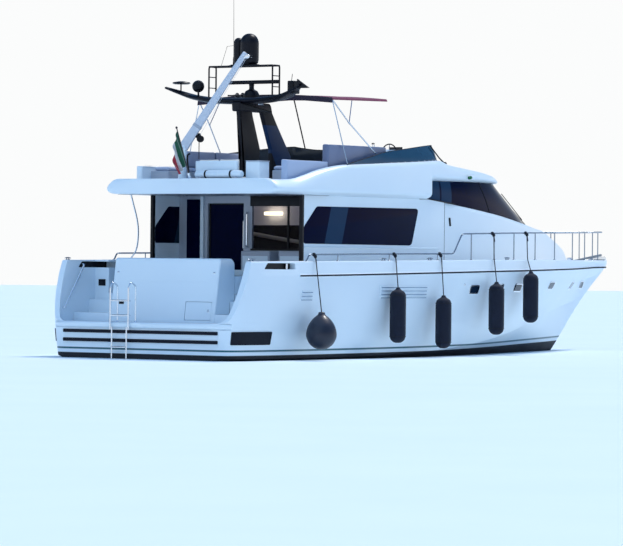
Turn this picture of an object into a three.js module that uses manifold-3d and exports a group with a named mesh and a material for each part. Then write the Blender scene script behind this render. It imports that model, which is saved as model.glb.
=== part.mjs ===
// Motor yacht of about 17.6 m with a flying bridge, afloat, in millimetres.
// +X runs to the bow, +Y to port, +Z up. The origin lies on the waterline and the
// centreline, just abaft the swim platform.
import * as THREE from 'three';
import { mergeVertices } from 'three/addons/utils/BufferGeometryUtils.js';
import Module from 'manifold-3d';

const wasm = await Module();
wasm.setup();

// Driving sizes: levels are heights above the water
const GAP = 0.4;
const BOW_TIP = 17630;
const PLATFORM = { aft: 60, front: 795, top: 720, bottom: 600 };
const SOLE = 1280;
const SOLE_PLATE = 60;
const SIDE_DECK = 1600;
const FOREDECK = 1930;
const BULWARK = 110;
const PASSAGE_HALF = 1870;
const LOCKER_HALF = 1310;
const HOUSE_HALF = 1900;
const WALL = 60;
const HOUSE_AFT = 2900;
const HOUSE_FRONT = 8000;
const BULKHEAD = 3770;
const WELL_FRONT = 11600;
const OVERHANG = 3270;
const FLY_DECK = 3450;
const HELM_SHELF = 3720;
const GLASS_TOP = 3660;
const GLASS = 16;
const ENGINE_BAY = { aft: 4000, front: 6400, half: 1230, bottom: -250 };
const SHAFT_Y = 620;
const SHAFT_ANGLE = 9.6;
const PROPELLER = { x: 1380, z: -946, radius: 330, hub: 170 };
const RUDDER = { x: 760, z: -1290, thick: 46, gland: -560 };
const MAST_X = 3480;
const CAGE = { aft: 3360, front: 3600, half: 800, top: 5890 };
const RADAR = { x: 3740, z: 5510, half: 690 };
const BIMINI = { aft: 4200, front: 5900, half: 1700, z: 5200 };
const CRANE = { x: 2020, y: 430, pivot: 4180, length: 2300, azimuth: -60, elevation: 57 };
const LADDER = { x: 22, y: 420, half: 225, hinge: 600 };
const RAIL = 16;
const PIPE = 17;
const FENDER = 155;

// Finishes
const finish = (color, roughness, metalness = 0) =>
  new THREE.MeshStandardMaterial({ color, roughness, metalness });
const gelcoat = finish(0xf2f4f6, 0.25);
const greyTrim = finish(0xb9bcc4, 0.5);
const tinted = finish(0x0a0d12, 0.08);
const stainless = finish(0xd5d8dc, 0.2, 1);
const blackPaint = finish(0x14161a, 0.35);
const bronze = finish(0xa8894c, 0.35, 1);
const maroonCanvas = finish(0x6e2433, 0.9);
const navyVinyl = finish(0x1c2c5c, 0.85);
const creamVinyl = finish(0xe9e4da, 0.8);
const castIron = finish(0x4c5660, 0.6, 0.4);
const teak = finish(0x9b7148, 0.75);
const flagCloth = finish(0x2d6b44, 0.9);

// Value of one column of a table at x, in straight lines between its rows
function lookUp(rows, x, column) {
  if (x <= rows[0][0]) return rows[0][column];
  const i = rows.findIndex((row) => row[0] >= x);
  if (i < 0) return rows.at(-1)[column];
  const [a, b] = [rows[i - 1], rows[i]];
  return a[column] + ((b[column] - a[column]) * (x - a[0])) / (b[0] - a[0]);
}

// The same, in smooth cubic pieces that don't overshoot
function fair(rows, x, column) {
  if (x <= rows[0][0]) return rows[0][column];
  if (x >= rows.at(-1)[0]) return rows.at(-1)[column];
  const i = rows.findIndex((row) => row[0] >= x);
  const rise = (k) => (rows[k + 1][column] - rows[k][column]) / (rows[k + 1][0] - rows[k][0]);
  const slope = (k) => {
    if (k === 0) return rise(0);
    if (k === rows.length - 1) return rise(k - 1);
    const [before, after] = [rise(k - 1), rise(k)];
    return before * after <= 0 ? 0 : (2 * before * after) / (before + after);
  };
  const [a, b] = [rows[i - 1], rows[i]];
  const h = b[0] - a[0];
  const t = (x - a[0]) / h;
  return (2 * t ** 3 - 3 * t ** 2 + 1) * a[column] + (t ** 3 - 2 * t ** 2 + t) * h * slope(i - 1)
    + (3 * t ** 2 - 2 * t ** 3) * b[column] + (t ** 3 - t ** 2) * h * slope(i);
}

// Turns a closed geometry into a solid that can be joined and cut
function solid(geometry) {
  const bare = geometry.index ? geometry.toNonIndexed() : geometry.clone();
  for (const name of Object.keys(bare.attributes)) {
    if (name !== 'position') bare.deleteAttribute(name);
  }
  const merged = mergeVertices(bare, 0.01);
  return new wasm.Manifold(new wasm.Mesh({
    numProp: 3,
    vertProperties: new Float32Array(merged.attributes.position.array),
    triVerts: new Uint32Array(merged.index.array),
  }));
}

function geometryOf(body) {
  const mesh = body.getMesh();
  const geometry = new THREE.BufferGeometry();
  geometry.setAttribute('position', new THREE.BufferAttribute(new Float32Array(mesh.vertProperties), 3));
  geometry.setIndex(new THREE.BufferAttribute(new Uint32Array(mesh.triVerts), 1));
  geometry.computeVertexNormals();
  return geometry;
}

const join = (bodies) => bodies.reduce((all, body) => all.add(body));
const cut = (body, tools) => tools.reduce((rest, tool) => rest.subtract(tool), body);
const mirrored = (body) => body.mirror([0, 1, 0]);

function block(x0, x1, y0, y1, z0, z1) {
  const box = new THREE.BoxGeometry(x1 - x0, y1 - y0, z1 - z0);
  return solid(box.translate((x0 + x1) / 2, (y0 + y1) / 2, (z0 + z1) / 2));
}

function extruded(points, depth) {
  const shape = new THREE.Shape(points.map(([u, v]) => new THREE.Vector2(u, v)));
  return new THREE.ExtrudeGeometry(shape, { depth, bevelEnabled: false });
}

// An outline in plan, in X and Y, carried up from z0 to z1
const slab = (points, z0, z1) => solid(extruded(points, z1 - z0).translate(0, 0, z0));

// An outline in side view, in X and Z, carried across from y0 to y1
const sidePlate = (points, y0, y1) =>
  solid(extruded(points, y1 - y0).rotateX(Math.PI / 2).translate(0, y1, 0));

// An outline seen from astern, in Y and Z, carried forward from x0 to x1
const crossPlate = (points, x0, x1) =>
  solid(extruded(points, x1 - x0).rotateX(Math.PI / 2).rotateZ(Math.PI / 2).translate(x0, 0, 0));

// A skin over rings of equally many points, closed by a flat cap at each end
function loft(rings) {
  const size = rings[0].length;
  const faces = [];
  for (let r = 0; r < rings.length - 1; r += 1) {
    for (let k = 0; k < size; k += 1) {
      const next = (k + 1) % size;
      const [a, b, c, d] = [r * size + k, r * size + next, (r + 1) * size + next, (r + 1) * size + k];
      faces.push([a, b, c], [a, c, d]);
    }
  }
  const signedArea = (outline) => outline.reduce((sum, p, k) => {
    const q = outline[(k + 1) % outline.length];
    return sum + p.x * q.y - q.x * p.y;
  }, 0);
  const cap = (ring, base, forward) => {
    const spread = (axis) => Math.max(...ring.map((p) => p[axis])) - Math.min(...ring.map((p) => p[axis]));
    const flat = [0, 1, 2].sort((p, q) => spread(p) - spread(q))[0];
    const outline = ring.map((p) => new THREE.Vector2(p[(flat + 1) % 3], p[(flat + 2) % 3]));
    const sense = Math.sign(signedArea(outline)) * (forward ? 1 : -1);
    for (const corners of THREE.ShapeUtils.triangulateShape(outline, [])) {
      const along = Math.sign(signedArea(corners.map((k) => outline[k])));
      const [a, b, c] = corners.map((k) => base + k);
      faces.push(along === sense ? [a, b, c] : [a, c, b]);
    }
  };
  cap(rings[0], 0, false);
  cap(rings.at(-1), size * (rings.length - 1), true);
  const points = rings.flat();
  const volume = faces.reduce((sum, [a, b, c]) => {
    const [p, q, s] = [points[a], points[b], points[c]];
    return sum + p[0] * (q[1] * s[2] - q[2] * s[1]) + p[1] * (q[2] * s[0] - q[0] * s[2])
      + p[2] * (q[0] * s[1] - q[1] * s[0]);
  }, 0);
  const outward = volume > 0 ? faces : faces.map(([a, b, c]) => [a, c, b]);
  const geometry = new THREE.BufferGeometry();
  geometry.setAttribute('position', new THREE.Float32BufferAttribute(points.flat(), 3));
  geometry.setIndex(outward.flat());
  return solid(geometry);
}

// A body lofted as its port half, whose rings lie on the centreline at both ends
function twoHalves(rings) {
  const half = loft(rings);
  return half.add(mirrored(half));
}

// A round bar between two points
function rod(from, to, radius, sides = 8) {
  const [a, b] = [new THREE.Vector3(...from), new THREE.Vector3(...to)];
  const bar = new THREE.CylinderGeometry(radius, radius, a.distanceTo(b), sides);
  const turn = new THREE.Quaternion().setFromUnitVectors(
    new THREE.Vector3(0, 1, 0), b.clone().sub(a).normalize());
  return solid(bar.applyQuaternion(turn).translate(...a.add(b).multiplyScalar(0.5).toArray()));
}

const ball = (centre, radius, sides = 10) =>
  solid(new THREE.SphereGeometry(radius, sides, Math.ceil(sides / 2)).translate(...centre));

// A round pipe through several points, mitred where it bends
function pipe(points, radius, sides = 8) {
  const path = points.map((point) => new THREE.Vector3(...point));
  const runs = path.slice(1).map((point, i) => point.clone().sub(path[i]).normalize());
  const start = new THREE.Vector3(0, 0, 1).cross(runs[0]);
  if (start.length() < 0.1) start.set(1, 0, 0).cross(runs[0]);
  const other = runs[0].clone().cross(start.normalize());
  let offsets = Array.from({ length: sides }, (_, k) => {
    const angle = (2 * Math.PI * k) / sides;
    const offset = start.clone().multiplyScalar(radius * Math.cos(angle));
    return offset.addScaledVector(other, radius * Math.sin(angle));
  });
  const slide = (offset, run, normal) =>
    offset.clone().addScaledVector(run, -offset.dot(normal) / run.dot(normal));
  const rings = path.map((point, i) => {
    const [before, after] = [runs[Math.max(i - 1, 0)], runs[Math.min(i, runs.length - 1)]];
    const mitre = before.clone().add(after).normalize();
    const ring = offsets.map((offset) => slide(offset, before, mitre));
    offsets = ring.map((offset) => slide(offset, after, after));
    return ring.map((offset) => point.clone().add(offset).toArray());
  });
  return loft(rings);
}

// A round piece about a vertical line, from its profile of radius and height
function turned(profile, x, y, sides = 20) {
  const outline = profile.map(([r, z]) => new THREE.Vector2(r, z));
  return solid(new THREE.LatheGeometry(outline, sides).rotateX(Math.PI / 2).translate(x, y, 0));
}

const yacht = new THREE.Group();
function add(name, body, material) {
  const mesh = new THREE.Mesh(geometryOf(body), material);
  mesh.name = name;
  yacht.add(mesh);
  return body;
}

// Hull lines, one row for each station. Columns: x, half-beam and height of the sheer,
// of the rubbing strake, of the knuckle and of the chine, and the keel's height
const LINES = [
  [120, 1960, 1930, 1970, 1640, 1975, 1050, 1900, 40, -620],
  [160, 2110, 1930, 2120, 1640, 2120, 1050, 2040, 40, -622],
  [240, 2220, 1930, 2235, 1641, 2230, 1051, 2130, 40, -626],
  [400, 2310, 1930, 2330, 1643, 2320, 1053, 2190, 40, -634],
  [1100, 2410, 1935, 2440, 1650, 2430, 1062, 2250, 40, -660],
  [2500, 2470, 1950, 2500, 1668, 2480, 1095, 2270, 42, -710],
  [4500, 2490, 1975, 2520, 1700, 2485, 1135, 2260, 60, -770],
  [6700, 2465, 2000, 2495, 1738, 2430, 1180, 2190, 110, -810],
  [9000, 2355, 2025, 2380, 1778, 2255, 1232, 1960, 250, -820],
  [11000, 2130, 2038, 2140, 1808, 1945, 1290, 1600, 470, -800],
  [13000, 1730, 2046, 1710, 1838, 1450, 1370, 1050, 760, -690],
  [14400, 1310, 2050, 1260, 1858, 960, 1440, 590, 930, -470],
  [15160, 1020, 2052, 950, 1870, 650, 1490, 330, 1010, -50],
  [15750, 770, 2054, 695, 1878, 410, 1540, 160, 1080, 460],
  [16320, 520, 2056, 445, 1886, 200, 1610, 60, 1170, 975],
  [17050, 225, 2058, 185, 1894, 70, 1700, 26, 1560, 1530],
  [17500, 70, 2060, 52, 1900, 26, 1880, 18, 1862, 1845],
  [BOW_TIP, 16, 2060, 14, 1990, 12, 1985, 10, 1980, 1970],
];
const [SHEER_Y, SHEER_Z, RUB_Y, RUB_Z, KNUCKLE_Y, KNUCKLE_Z, CHINE_Y, CHINE_Z, KEEL_Z] =
  [1, 2, 3, 4, 5, 6, 7, 8, 9];
const HULL_STATIONS = [
  120, 160, 240, 400, 700, 1100, 2500, 4000, 5500, 7000, 8500, 10000, 11200, 12300, 13300,
  14200, 15000, 15600, 16100, 16600, 17050, 17500, BOW_TIP,
];
const DECK_RAMP = [[8000, SIDE_DECK], [10500, FOREDECK]];
const sheerAt = (x) => fair(LINES, x, SHEER_Y);
const sheerTop = (x) => fair(LINES, x, SHEER_Z);
const rubAt = (x) => fair(LINES, x, RUB_Y);
const deckAt = (x) => lookUp(DECK_RAMP, x, 1);

// Half a ring of the hull: from the keel up the port side and in to the centreline
function hullRing(x) {
  const at = (column) => fair(LINES, x, column);
  const side = [
    [at(CHINE_Y) * 0.55, at(KEEL_Z) + (at(CHINE_Z) - at(KEEL_Z)) * 0.5],
    [at(CHINE_Y), at(CHINE_Z)],
    [(at(CHINE_Y) + at(KNUCKLE_Y)) / 2 + at(CHINE_Y) * 0.01, (at(CHINE_Z) + at(KNUCKLE_Z)) / 2],
    [at(KNUCKLE_Y), at(KNUCKLE_Z)],
    [at(RUB_Y), at(RUB_Z)],
    [at(SHEER_Y), at(SHEER_Z)],
  ];
  return [[x, 0, at(KEEL_Z)], ...side.map(([y, z]) => [x, y, z]), [x, 0, at(SHEER_Z)]];
}

// The well between the bulwarks, from the side decks to the foredeck
function deckWell() {
  const stations = [2850, 4000, 6000, 8000, 9300, 10500, 12000, 13300, 14400, 15400, 16300, 16900];
  return loft(stations.map((x) => {
    const half = sheerAt(x) - BULWARK;
    return [[x, -half, deckAt(x)], [x, half, deckAt(x)], [x, half, 2600], [x, -half, 2600]];
  }));
}

// What is taken from the stern: the wings' sloping ends, the platform's slot, the two
// stepped passages, the cockpit, and the seat of the stern locker
function sternCuts() {
  const wings = [
    [-200, PLATFORM.bottom - GAP], [800, PLATFORM.bottom - GAP], [800, PLATFORM.top + GAP],
    [165, PLATFORM.top + GAP], [590, 1890], [640, 2100], [-200, 2100],
  ];
  const steps = [[820, PLATFORM.bottom - GAP], [1070, 900], [1330, 1090], [BULKHEAD + WALL + 20, SOLE]];
  return [
    sidePlate(wings, -2700, 2700),
    block(-200, 1500, -LOCKER_HALF - 10, LOCKER_HALF + 10, PLATFORM.bottom - GAP, 2200),
    ...steps.map(([front, level]) => block(-200, front, -PASSAGE_HALF, PASSAGE_HALF, level, 2200)),
  ];
}

// The hull: decked and solid, with the saloon's well, the engine bay under its sole, and
// the glands that the rudder stocks turn under
function makeHull() {
  const fairlead = [[960, 1800], [1910, 1800], [1910, 1895], [1060, 1895]];
  const gland = turned([[0, RUDDER.gland], [60, RUDDER.gland], [60, -300], [0, -300]], RUDDER.x, SHAFT_Y);
  const body = join([twoHalves(HULL_STATIONS.map(hullRing)), gland, mirrored(gland)]);
  return cut(body, [
    deckWell(),
    ...sternCuts(),
    sidePlate(fairlead, -2700, -1860),
    sidePlate(fairlead, 1860, 2700),
    block(3840, WELL_FRONT, -1780, 1780, SOLE - SOLE_PLATE - GAP, 2600),
    block(ENGINE_BAY.aft, ENGINE_BAY.front, -ENGINE_BAY.half, ENGINE_BAY.half, ENGINE_BAY.bottom, 1400),
  ]);
}
const hull = add('hull', makeHull(), gelcoat);
const underHull = hull.translate([0, 0, -GAP]);
const overHull = hull.translate([0, 0, GAP]);

// The swim platform: one thick plate on the stern, rounded with the quarters
function makePlatform() {
  const { aft, front, top, bottom } = PLATFORM;
  const edge = [
    [aft, 1500], [aft + 25, 1850], [aft + 70, 2080], [aft + 160, 2240], [aft + 330, 2345], [front, 2400],
  ];
  return slab([...edge, ...edge.map(([x, y]) => [x, -y]).reverse()], bottom, top);
}
add('swim_platform', makePlatform(), gelcoat);

// The stern locker between the two passages. Its aft face leans forward, and so does the
// door low on its starboard side, whose sizes are measured along that face
const TRANSOM = { x: 800, rise: 1365, lean: 205 };
const LOCKER_DOOR = { inner: -560, outer: -1210, bottom: 170, top: 540, depth: 430, thick: 30, gap: 6 };
const leanBack = (body) => body
  .rotate([0, THREE.MathUtils.radToDeg(Math.atan2(TRANSOM.lean, TRANSOM.rise)), 0])
  .translate([TRANSOM.x, 0, PLATFORM.bottom]);
function makeSternLocker() {
  const base = PLATFORM.bottom;
  const { x, rise, lean } = TRANSOM;
  const outline = [
    [x, base], [1490, base], [1490, 1900], [1400, 1985], [x + lean + 35, 1985], [x + lean, base + rise],
  ];
  const { inner, outer, bottom, top, depth } = LOCKER_DOOR;
  const recess = leanBack(block(-100, depth, outer, inner, bottom, top));
  return sidePlate(outline, -LOCKER_HALF, LOCKER_HALF).subtract(recess);
}
add('stern_locker', makeSternLocker(), gelcoat);

// The door turns on a pin by its inner edge, which stands between the recess's floor and top
function makeLockerDoor() {
  const { inner, outer, bottom, top, thick, gap } = LOCKER_DOOR;
  const panel = block(0, thick, outer + gap, inner - 10, bottom + gap, top - gap);
  const pin = [thick / 2, inner - 30];
  return leanBack(panel.add(rod([...pin, bottom + GAP], [...pin, top - GAP], 8, 10)));
}
add('locker_door', makeLockerDoor(), gelcoat);

// Cockpit: the bench against the stern locker, its cushion, and two lockers by the saloon
add('cockpit_bench', block(1500.5, 2060, -1290, 1290, SOLE + GAP, 1640), gelcoat);
add('cockpit_cushion', block(1540, 2080, -1270, 1270, 1640 + GAP, 1750), creamVinyl);
add('cockpit_lockers', join([
  block(3450, BULKHEAD - GAP, -1530, 20, SOLE + GAP, SOLE + 120),
  block(3450, BULKHEAD - GAP, -710, 20, SOLE + GAP, 2150),
  block(3450, BULKHEAD - GAP, -1530, -920, SOLE + GAP, 2150),
]), greyTrim);

// Engines: plain blocks of the real size and place, on the floor of their bay
const engine = join([
  block(4300, 6050, 420, 1180, ENGINE_BAY.bottom + 120, 760),
  block(4500, 5900, 480, 1120, ENGINE_BAY.bottom + GAP, ENGINE_BAY.bottom + 140),
]);
add('engine_port', engine, castIron);
add('engine_starboard', mirrored(engine), castIron);

// The saloon's sole, with the track of its sliding door
add('saloon_sole', join([
  block(3841, WELL_FRONT - 1, -1779, 1779, SOLE - SOLE_PLATE, SOLE),
  block(3846, 3858, -760, 1130, SOLE - 10, SOLE + 20),
]), teak);

// House sides: each a wall with the long saloon window, which slopes at both ends
const SILL = [[7300, 3292], [HOUSE_FRONT, 3225]];
function windowOutline(inset) {
  return [
    [3100 + inset, 2320], [3130 + inset, 2275 + inset], [6720, 2300 + inset], [6790 - inset, 2340],
    [7010 - inset, 3020], [6960, 3065 - inset], [3430, 3050 - inset], [3380 + inset, 3010],
  ];
}
function makeHouseSide() {
  const outline = [
    [HOUSE_AFT, SIDE_DECK + GAP], [HOUSE_FRONT - GAP, SIDE_DECK + GAP], [HOUSE_FRONT - GAP, SILL[1][1]],
    [SILL[0][0], SILL[0][1]], [SILL[0][0] - 12, OVERHANG - GAP], [HOUSE_AFT, OVERHANG - GAP],
  ];
  return sidePlate(outline, HOUSE_HALF - WALL, HOUSE_HALF)
    .subtract(sidePlate(windowOutline(0), HOUSE_HALF - 2 * WALL, HOUSE_HALF + WALL));
}
const houseSide = makeHouseSide();
add('house_side_port', houseSide, gelcoat);
add('house_side_starboard', mirrored(houseSide), gelcoat);
const saloonGlass = sidePlate(windowOutline(GAP), HOUSE_HALF - 8 - GLASS, HOUSE_HALF - 8);
add('saloon_glass_port', saloonGlass, tinted);
add('saloon_glass_starboard', mirrored(saloonGlass), tinted);

// The aft bulkhead: doorway to port of the centre, galley window to starboard, and a
// narrow light on the port side. Columns: inner and outer y, bottom and top
const DOORWAY = [190, 1110, SOLE + 20, 3120];
const GALLEY_LIGHT = [-1760, -20, 2200, 3120];
const PORT_LIGHT = [1210, 1480, 1500, 3120];
function makeBulkhead() {
  const holes = [DOORWAY, GALLEY_LIGHT, PORT_LIGHT].map(([y0, y1, z0, z1]) =>
    block(BULKHEAD - WALL, BULKHEAD + 2 * WALL, y0, y1, z0, z1));
  const half = HOUSE_HALF - WALL - GAP;
  return cut(block(BULKHEAD, BULKHEAD + WALL, -half, half, SOLE + GAP, OVERHANG - GAP), holes);
}
add('aft_bulkhead', makeBulkhead(), greyTrim);
for (const [name, [y0, y1, z0, z1]] of [['galley_light', GALLEY_LIGHT], ['port_light', PORT_LIGHT]]) {
  add(name, block(BULKHEAD + 20, BULKHEAD + 20 + GLASS, y0 + GAP, y1 - GAP, z0 + GAP, z1 - GAP), tinted);
}

// The sliding door stands on its track, just inside the bulkhead
function makeDoor() {
  const [y0, y1, z0, z1] = DOORWAY;
  const leaf = block(3837, 3867, y0 - 40, y1 + 30, z0 + GAP, z1 + 40);
  const handle = join([
    block(3812, 3838, y0 + 20, y0 + 44, 2180, 2210),
    block(3812, 3838, y0 + 20, y0 + 44, 2760, 2790),
    block(3800, 3814, y0 + 20, y0 + 44, 2160, 2810),
  ]);
  return leaf.add(handle);
}
add('saloon_door', makeDoor(), tinted);

// The trunk: the deckhouse's sides forward of the saloon, and the coachroof before the
// windscreen. Columns: x, half width at the deck, half width at the top, top
const TRUNK = [
  [HOUSE_FRONT, 1900, 1890, 3225], [9000, 1880, 1850, 3130], [10000, 1800, 1740, 3040],
  [10500, 1734, 1664, 2992], [11000, 1650, 1570, 2940], [12000, 1430, 1340, 2830], [13000, 1150, 1040, 2730],
  [13450, 1010, 890, 2700], [14200, 800, 680, 2530], [15000, 540, 420, 2345],
  [15260, 440, 330, 2262], [15400, 380, 290, 2120], [15440, 360, 280, 1980],
];
const HATCH = { aft: 13600, front: 14160, half: 270 };
function makeTrunk() {
  const shell = twoHalves(TRUNK.map(([x, low, high, top]) => {
    const [deck, start] = [deckAt(x) + GAP, Math.max(x, HOUSE_FRONT + GAP)];
    const shoulder = Math.max(top - 40, deck + 20);
    const half = [[0, deck], [low, deck], [high, shoulder], [high - 30, top], [0, top]];
    return half.map(([y, z]) => [start, y, z]);
  }));
  const inside = (rows, floor) => loft(rows.map(([x, , high]) => {
    const half = high - WALL - 15;
    return [[x, -half, floor], [x, half, floor], [x, half, 3600], [x, -half, 3600]];
  }));
  const shelf = [
    [WELL_FRONT - 100, 0, 1400], [12000, 0, 1310], [12700, 0, 1000], [13150, 0, 640], [13300, 0, 420],
  ];
  return cut(shell, [
    inside([[7900, 0, 1890], ...TRUNK.slice(0, 5), [WELL_FRONT, 0, 1420]], 1400),
    inside(shelf, 2500),
    block(HATCH.aft + 30, HATCH.front - 30, -HATCH.half + 30, HATCH.half - 30, 2100, 2900),
  ]);
}
add('trunk', makeTrunk(), gelcoat);

// The glazing round the raised house: a band that leans in from the sill to the roof.
// Columns: x and y of the lower edge, x and y of the upper edge
const GLAZING = [
  [7345, 1872, 7420, 1845], [8000, 1868, 8000, 1825], [9000, 1828, 8800, 1785],
  [10000, 1718, 9600, 1690], [10900, 1565, 10250, 1545], [11650, 1390, 10780, 1290],
  [12300, 1150, 11160, 960], [12800, 880, 11400, 640], [13150, 560, 11540, 330], [13300, 0, 11600, 0],
];
function sillAt(x) {
  return x < HOUSE_FRONT ? lookUp(SILL, x, 1) : lookUp(TRUNK, x, 3);
}
function glazingRing([bx, by, tx, ty], side) {
  const lean = Math.hypot(by, (bx - 7000) * 0.25);
  const [nx, ny] = [((bx - 7000) * 0.25) / lean, by / lean];
  const [low, high] = [sillAt(bx) + 3, GLASS_TOP - GAP];
  const corner = (x, y, z, depth) => [x - nx * depth, side * (y - ny * depth), z];
  return [
    corner(bx, by, low, 0), corner(bx, by, low, GLASS),
    corner(tx, ty, high, GLASS), corner(tx, ty, high, 0),
  ];
}
const SIDE_LIGHTS = 4;
const sideGlass = loft(GLAZING.slice(0, SIDE_LIGHTS).map((row) => glazingRing(row, 1)));
const [[seamX, seamY, seamTopX, seamTopY], ...bowed] = GLAZING.slice(SIDE_LIGHTS - 1);
const frontRows = [[seamX + 6, seamY, seamTopX + 6, seamTopY], ...bowed];
const windscreen = loft([
  ...frontRows.map((row) => glazingRing(row, 1)),
  ...frontRows.slice(0, -1).reverse().map((row) => glazingRing(row, -1)),
]);
const sills = join([houseSide, mirrored(houseSide)]).translate([0, 0, GAP]);
add('side_glass_port', sideGlass.subtract(sills), tinted);
add('side_glass_starboard', mirrored(sideGlass).subtract(sills), tinted);
add('windscreen', windscreen, tinted);

// The flying bridge: overhang, saloon roof and coaming in one moulding. Columns: x, half
// width, coaming top, underside
const FLY = [
  [1600, 800, 3570, OVERHANG], [1625, 1150, 3572, OVERHANG], [1680, 1550, 3574, OVERHANG],
  [1760, 1880, 3576, OVERHANG], [1860, 2060, 3578, OVERHANG], [2000, 2140, 3580, OVERHANG],
  [2300, 2170, 3592, OVERHANG], [2800, 2170, 3682, OVERHANG], [3300, 2170, 3790, OVERHANG],
  [4100, 2170, 3895, OVERHANG], [5500, 2160, 3970, OVERHANG], [6600, 2110, 4025, OVERHANG],
  [7285, 2060, 4060, OVERHANG], [7300, 2058, 4061, GLASS_TOP], [7740, 2020, 4080, GLASS_TOP],
  [8100, 1985, 4010, GLASS_TOP], [8900, 1890, 3945, GLASS_TOP], [9700, 1760, 3890, GLASS_TOP],
  [10350, 1600, 3830, GLASS_TOP], [10900, 1330, 3760, GLASS_TOP], [11300, 1010, 3722, GLASS_TOP],
  [11560, 620, 3702, GLASS_TOP], [11680, 240, 3692, GLASS_TOP],
];
const coamingTop = (x) => lookUp(FLY, x, 2);
function makeFlybridge() {
  const shell = twoHalves(FLY.map(([x, half, top, under]) => {
    const rise = top - under;
    const section = [
      [0, under], [half - Math.min(130, half * 0.3), under], [half, under + Math.min(70, rise * 0.3)],
      [half - 6, top - Math.min(80, rise * 0.3)], [half - Math.min(55, half * 0.2), top], [0, top],
    ];
    return section.map(([y, z]) => [x, y, z]);
  }));
  const tub = (stations, floor) => loft(stations.map((x) => {
    const half = lookUp(FLY, x, 1) - 175;
    return [[x, -half, floor], [x, half, floor], [x, half, 4300], [x, -half, 4300]];
  }));
  return cut(shell, [
    tub([1790, 1900, 2050, 2300, 3300, 5500, 6600, 7220], FLY_DECK),
    tub([7200, 7300, 7700], HELM_SHELF),
  ]);
}
const flybridge = add('flybridge', makeFlybridge(), gelcoat);
const overFly = flybridge.translate([0, 0, GAP]);

// The wind screen of the flying bridge, rising from the coaming to the helm and round
// its front. Columns: x and y of the foot, height, set-back of the upper edge
const VENTURI = [
  [4380, 2090, 12, 0], [5000, 2090, 120, 20], [5600, 2075, 215, 40], [6400, 2040, 265, 60],
  [7200, 1975, 305, 90], [7700, 1890, 320, 120], [8050, 1620, 330, 150], [8260, 1150, 335, 170],
  [8360, 600, 338, 180], [8380, 0, 340, 180],
];
function venturiRing([x, y, height, setBack], side) {
  const lean = Math.hypot(y, Math.max(x - 7000, 0) * 1.4);
  const [nx, ny] = [(Math.max(x - 7000, 0) * 1.4) / lean, y / lean];
  const foot = coamingTop(x);
  const corner = (depth, z, back) => [x - nx * depth - back, side * (y - ny * depth), z];
  return [
    corner(0, foot - 40, 0), corner(GLASS, foot - 40, 0),
    corner(GLASS, foot + height, setBack), corner(0, foot + height, setBack),
  ];
}
add('venturi_screen', loft([
  ...VENTURI.map((row) => venturiRing(row, 1)),
  ...VENTURI.slice(0, -1).reverse().map((row) => venturiRing(row, -1)),
]).subtract(overFly), tinted);

// Helm of the flying bridge: console, wheel on its boss, and seat
const HELM = { x: 7400, y: -900, z: 4240 };
function makeConsole() {
  const foot = HELM_SHELF + GAP;
  const outline = [[7480, foot], [7690, foot], [7690, 4300], [7610, 4330], [7470, 4180]];
  const boss = rod([HELM.x + 30, HELM.y, HELM.z], [HELM.x + 140, HELM.y, HELM.z], 34, 12);
  return sidePlate(outline, -1500, -330).add(boss);
}
add('helm_console', makeConsole(), gelcoat);
function makeWheel() {
  const rim = new THREE.TorusGeometry(185, 13, 6, 20).rotateY(Math.PI / 2).translate(HELM.x, HELM.y, HELM.z);
  const spokes = [90, 210, 330].map((degrees) => {
    const angle = THREE.MathUtils.degToRad(degrees);
    return rod([HELM.x, HELM.y, HELM.z],
      [HELM.x, HELM.y + 185 * Math.cos(angle), HELM.z + 185 * Math.sin(angle)], 10, 6);
  });
  const hub = rod([HELM.x - 14, HELM.y, HELM.z], [HELM.x + 30 - GAP, HELM.y, HELM.z], 30, 10);
  return join([solid(rim), hub, ...spokes]);
}
add('helm_wheel', makeWheel(), stainless);
add('helm_seat', join([
  block(6350, 6850, -1350, -450, FLY_DECK + GAP, 3880),
  sidePlate([[6300, 3700], [6430, 3700], [6400, 4290], [6280, 4290]], -1350, -450),
]), creamVinyl);

// Settees along the coaming, low aft and with a high back further forward
const settee = join([
  block(2380, 5850, 1270, 1885, FLY_DECK + GAP, 3840),
  block(2380, 3800, 1700, 1885, 3800, 3990),
  block(3790, 5850, 1700, 1885, 3800, 4340),
]);
add('fly_settee_port', settee, creamVinyl);
add('fly_settee_starboard', mirrored(settee), creamVinyl);

// The aft seat with its cushioned back, and the white locker beside it
add('fly_aft_seat', join([
  block(1980, 2360, -1690, 90, FLY_DECK + GAP, 3600),
  block(1980, 2100, -950, 80, 3590, 3975),
  block(2000, 2360, -1690, -1150, 3590, 3930),
]), creamVinyl);

// The life raft in its canister, on a low cradle abaft the seat
add('raft_canister', join([
  block(1830, 1960, -1140, -20, FLY_DECK + GAP, 3600),
  rod([1895, -1160, 3660], [1895, -10, 3660], 78, 16),
]), gelcoat);

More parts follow.
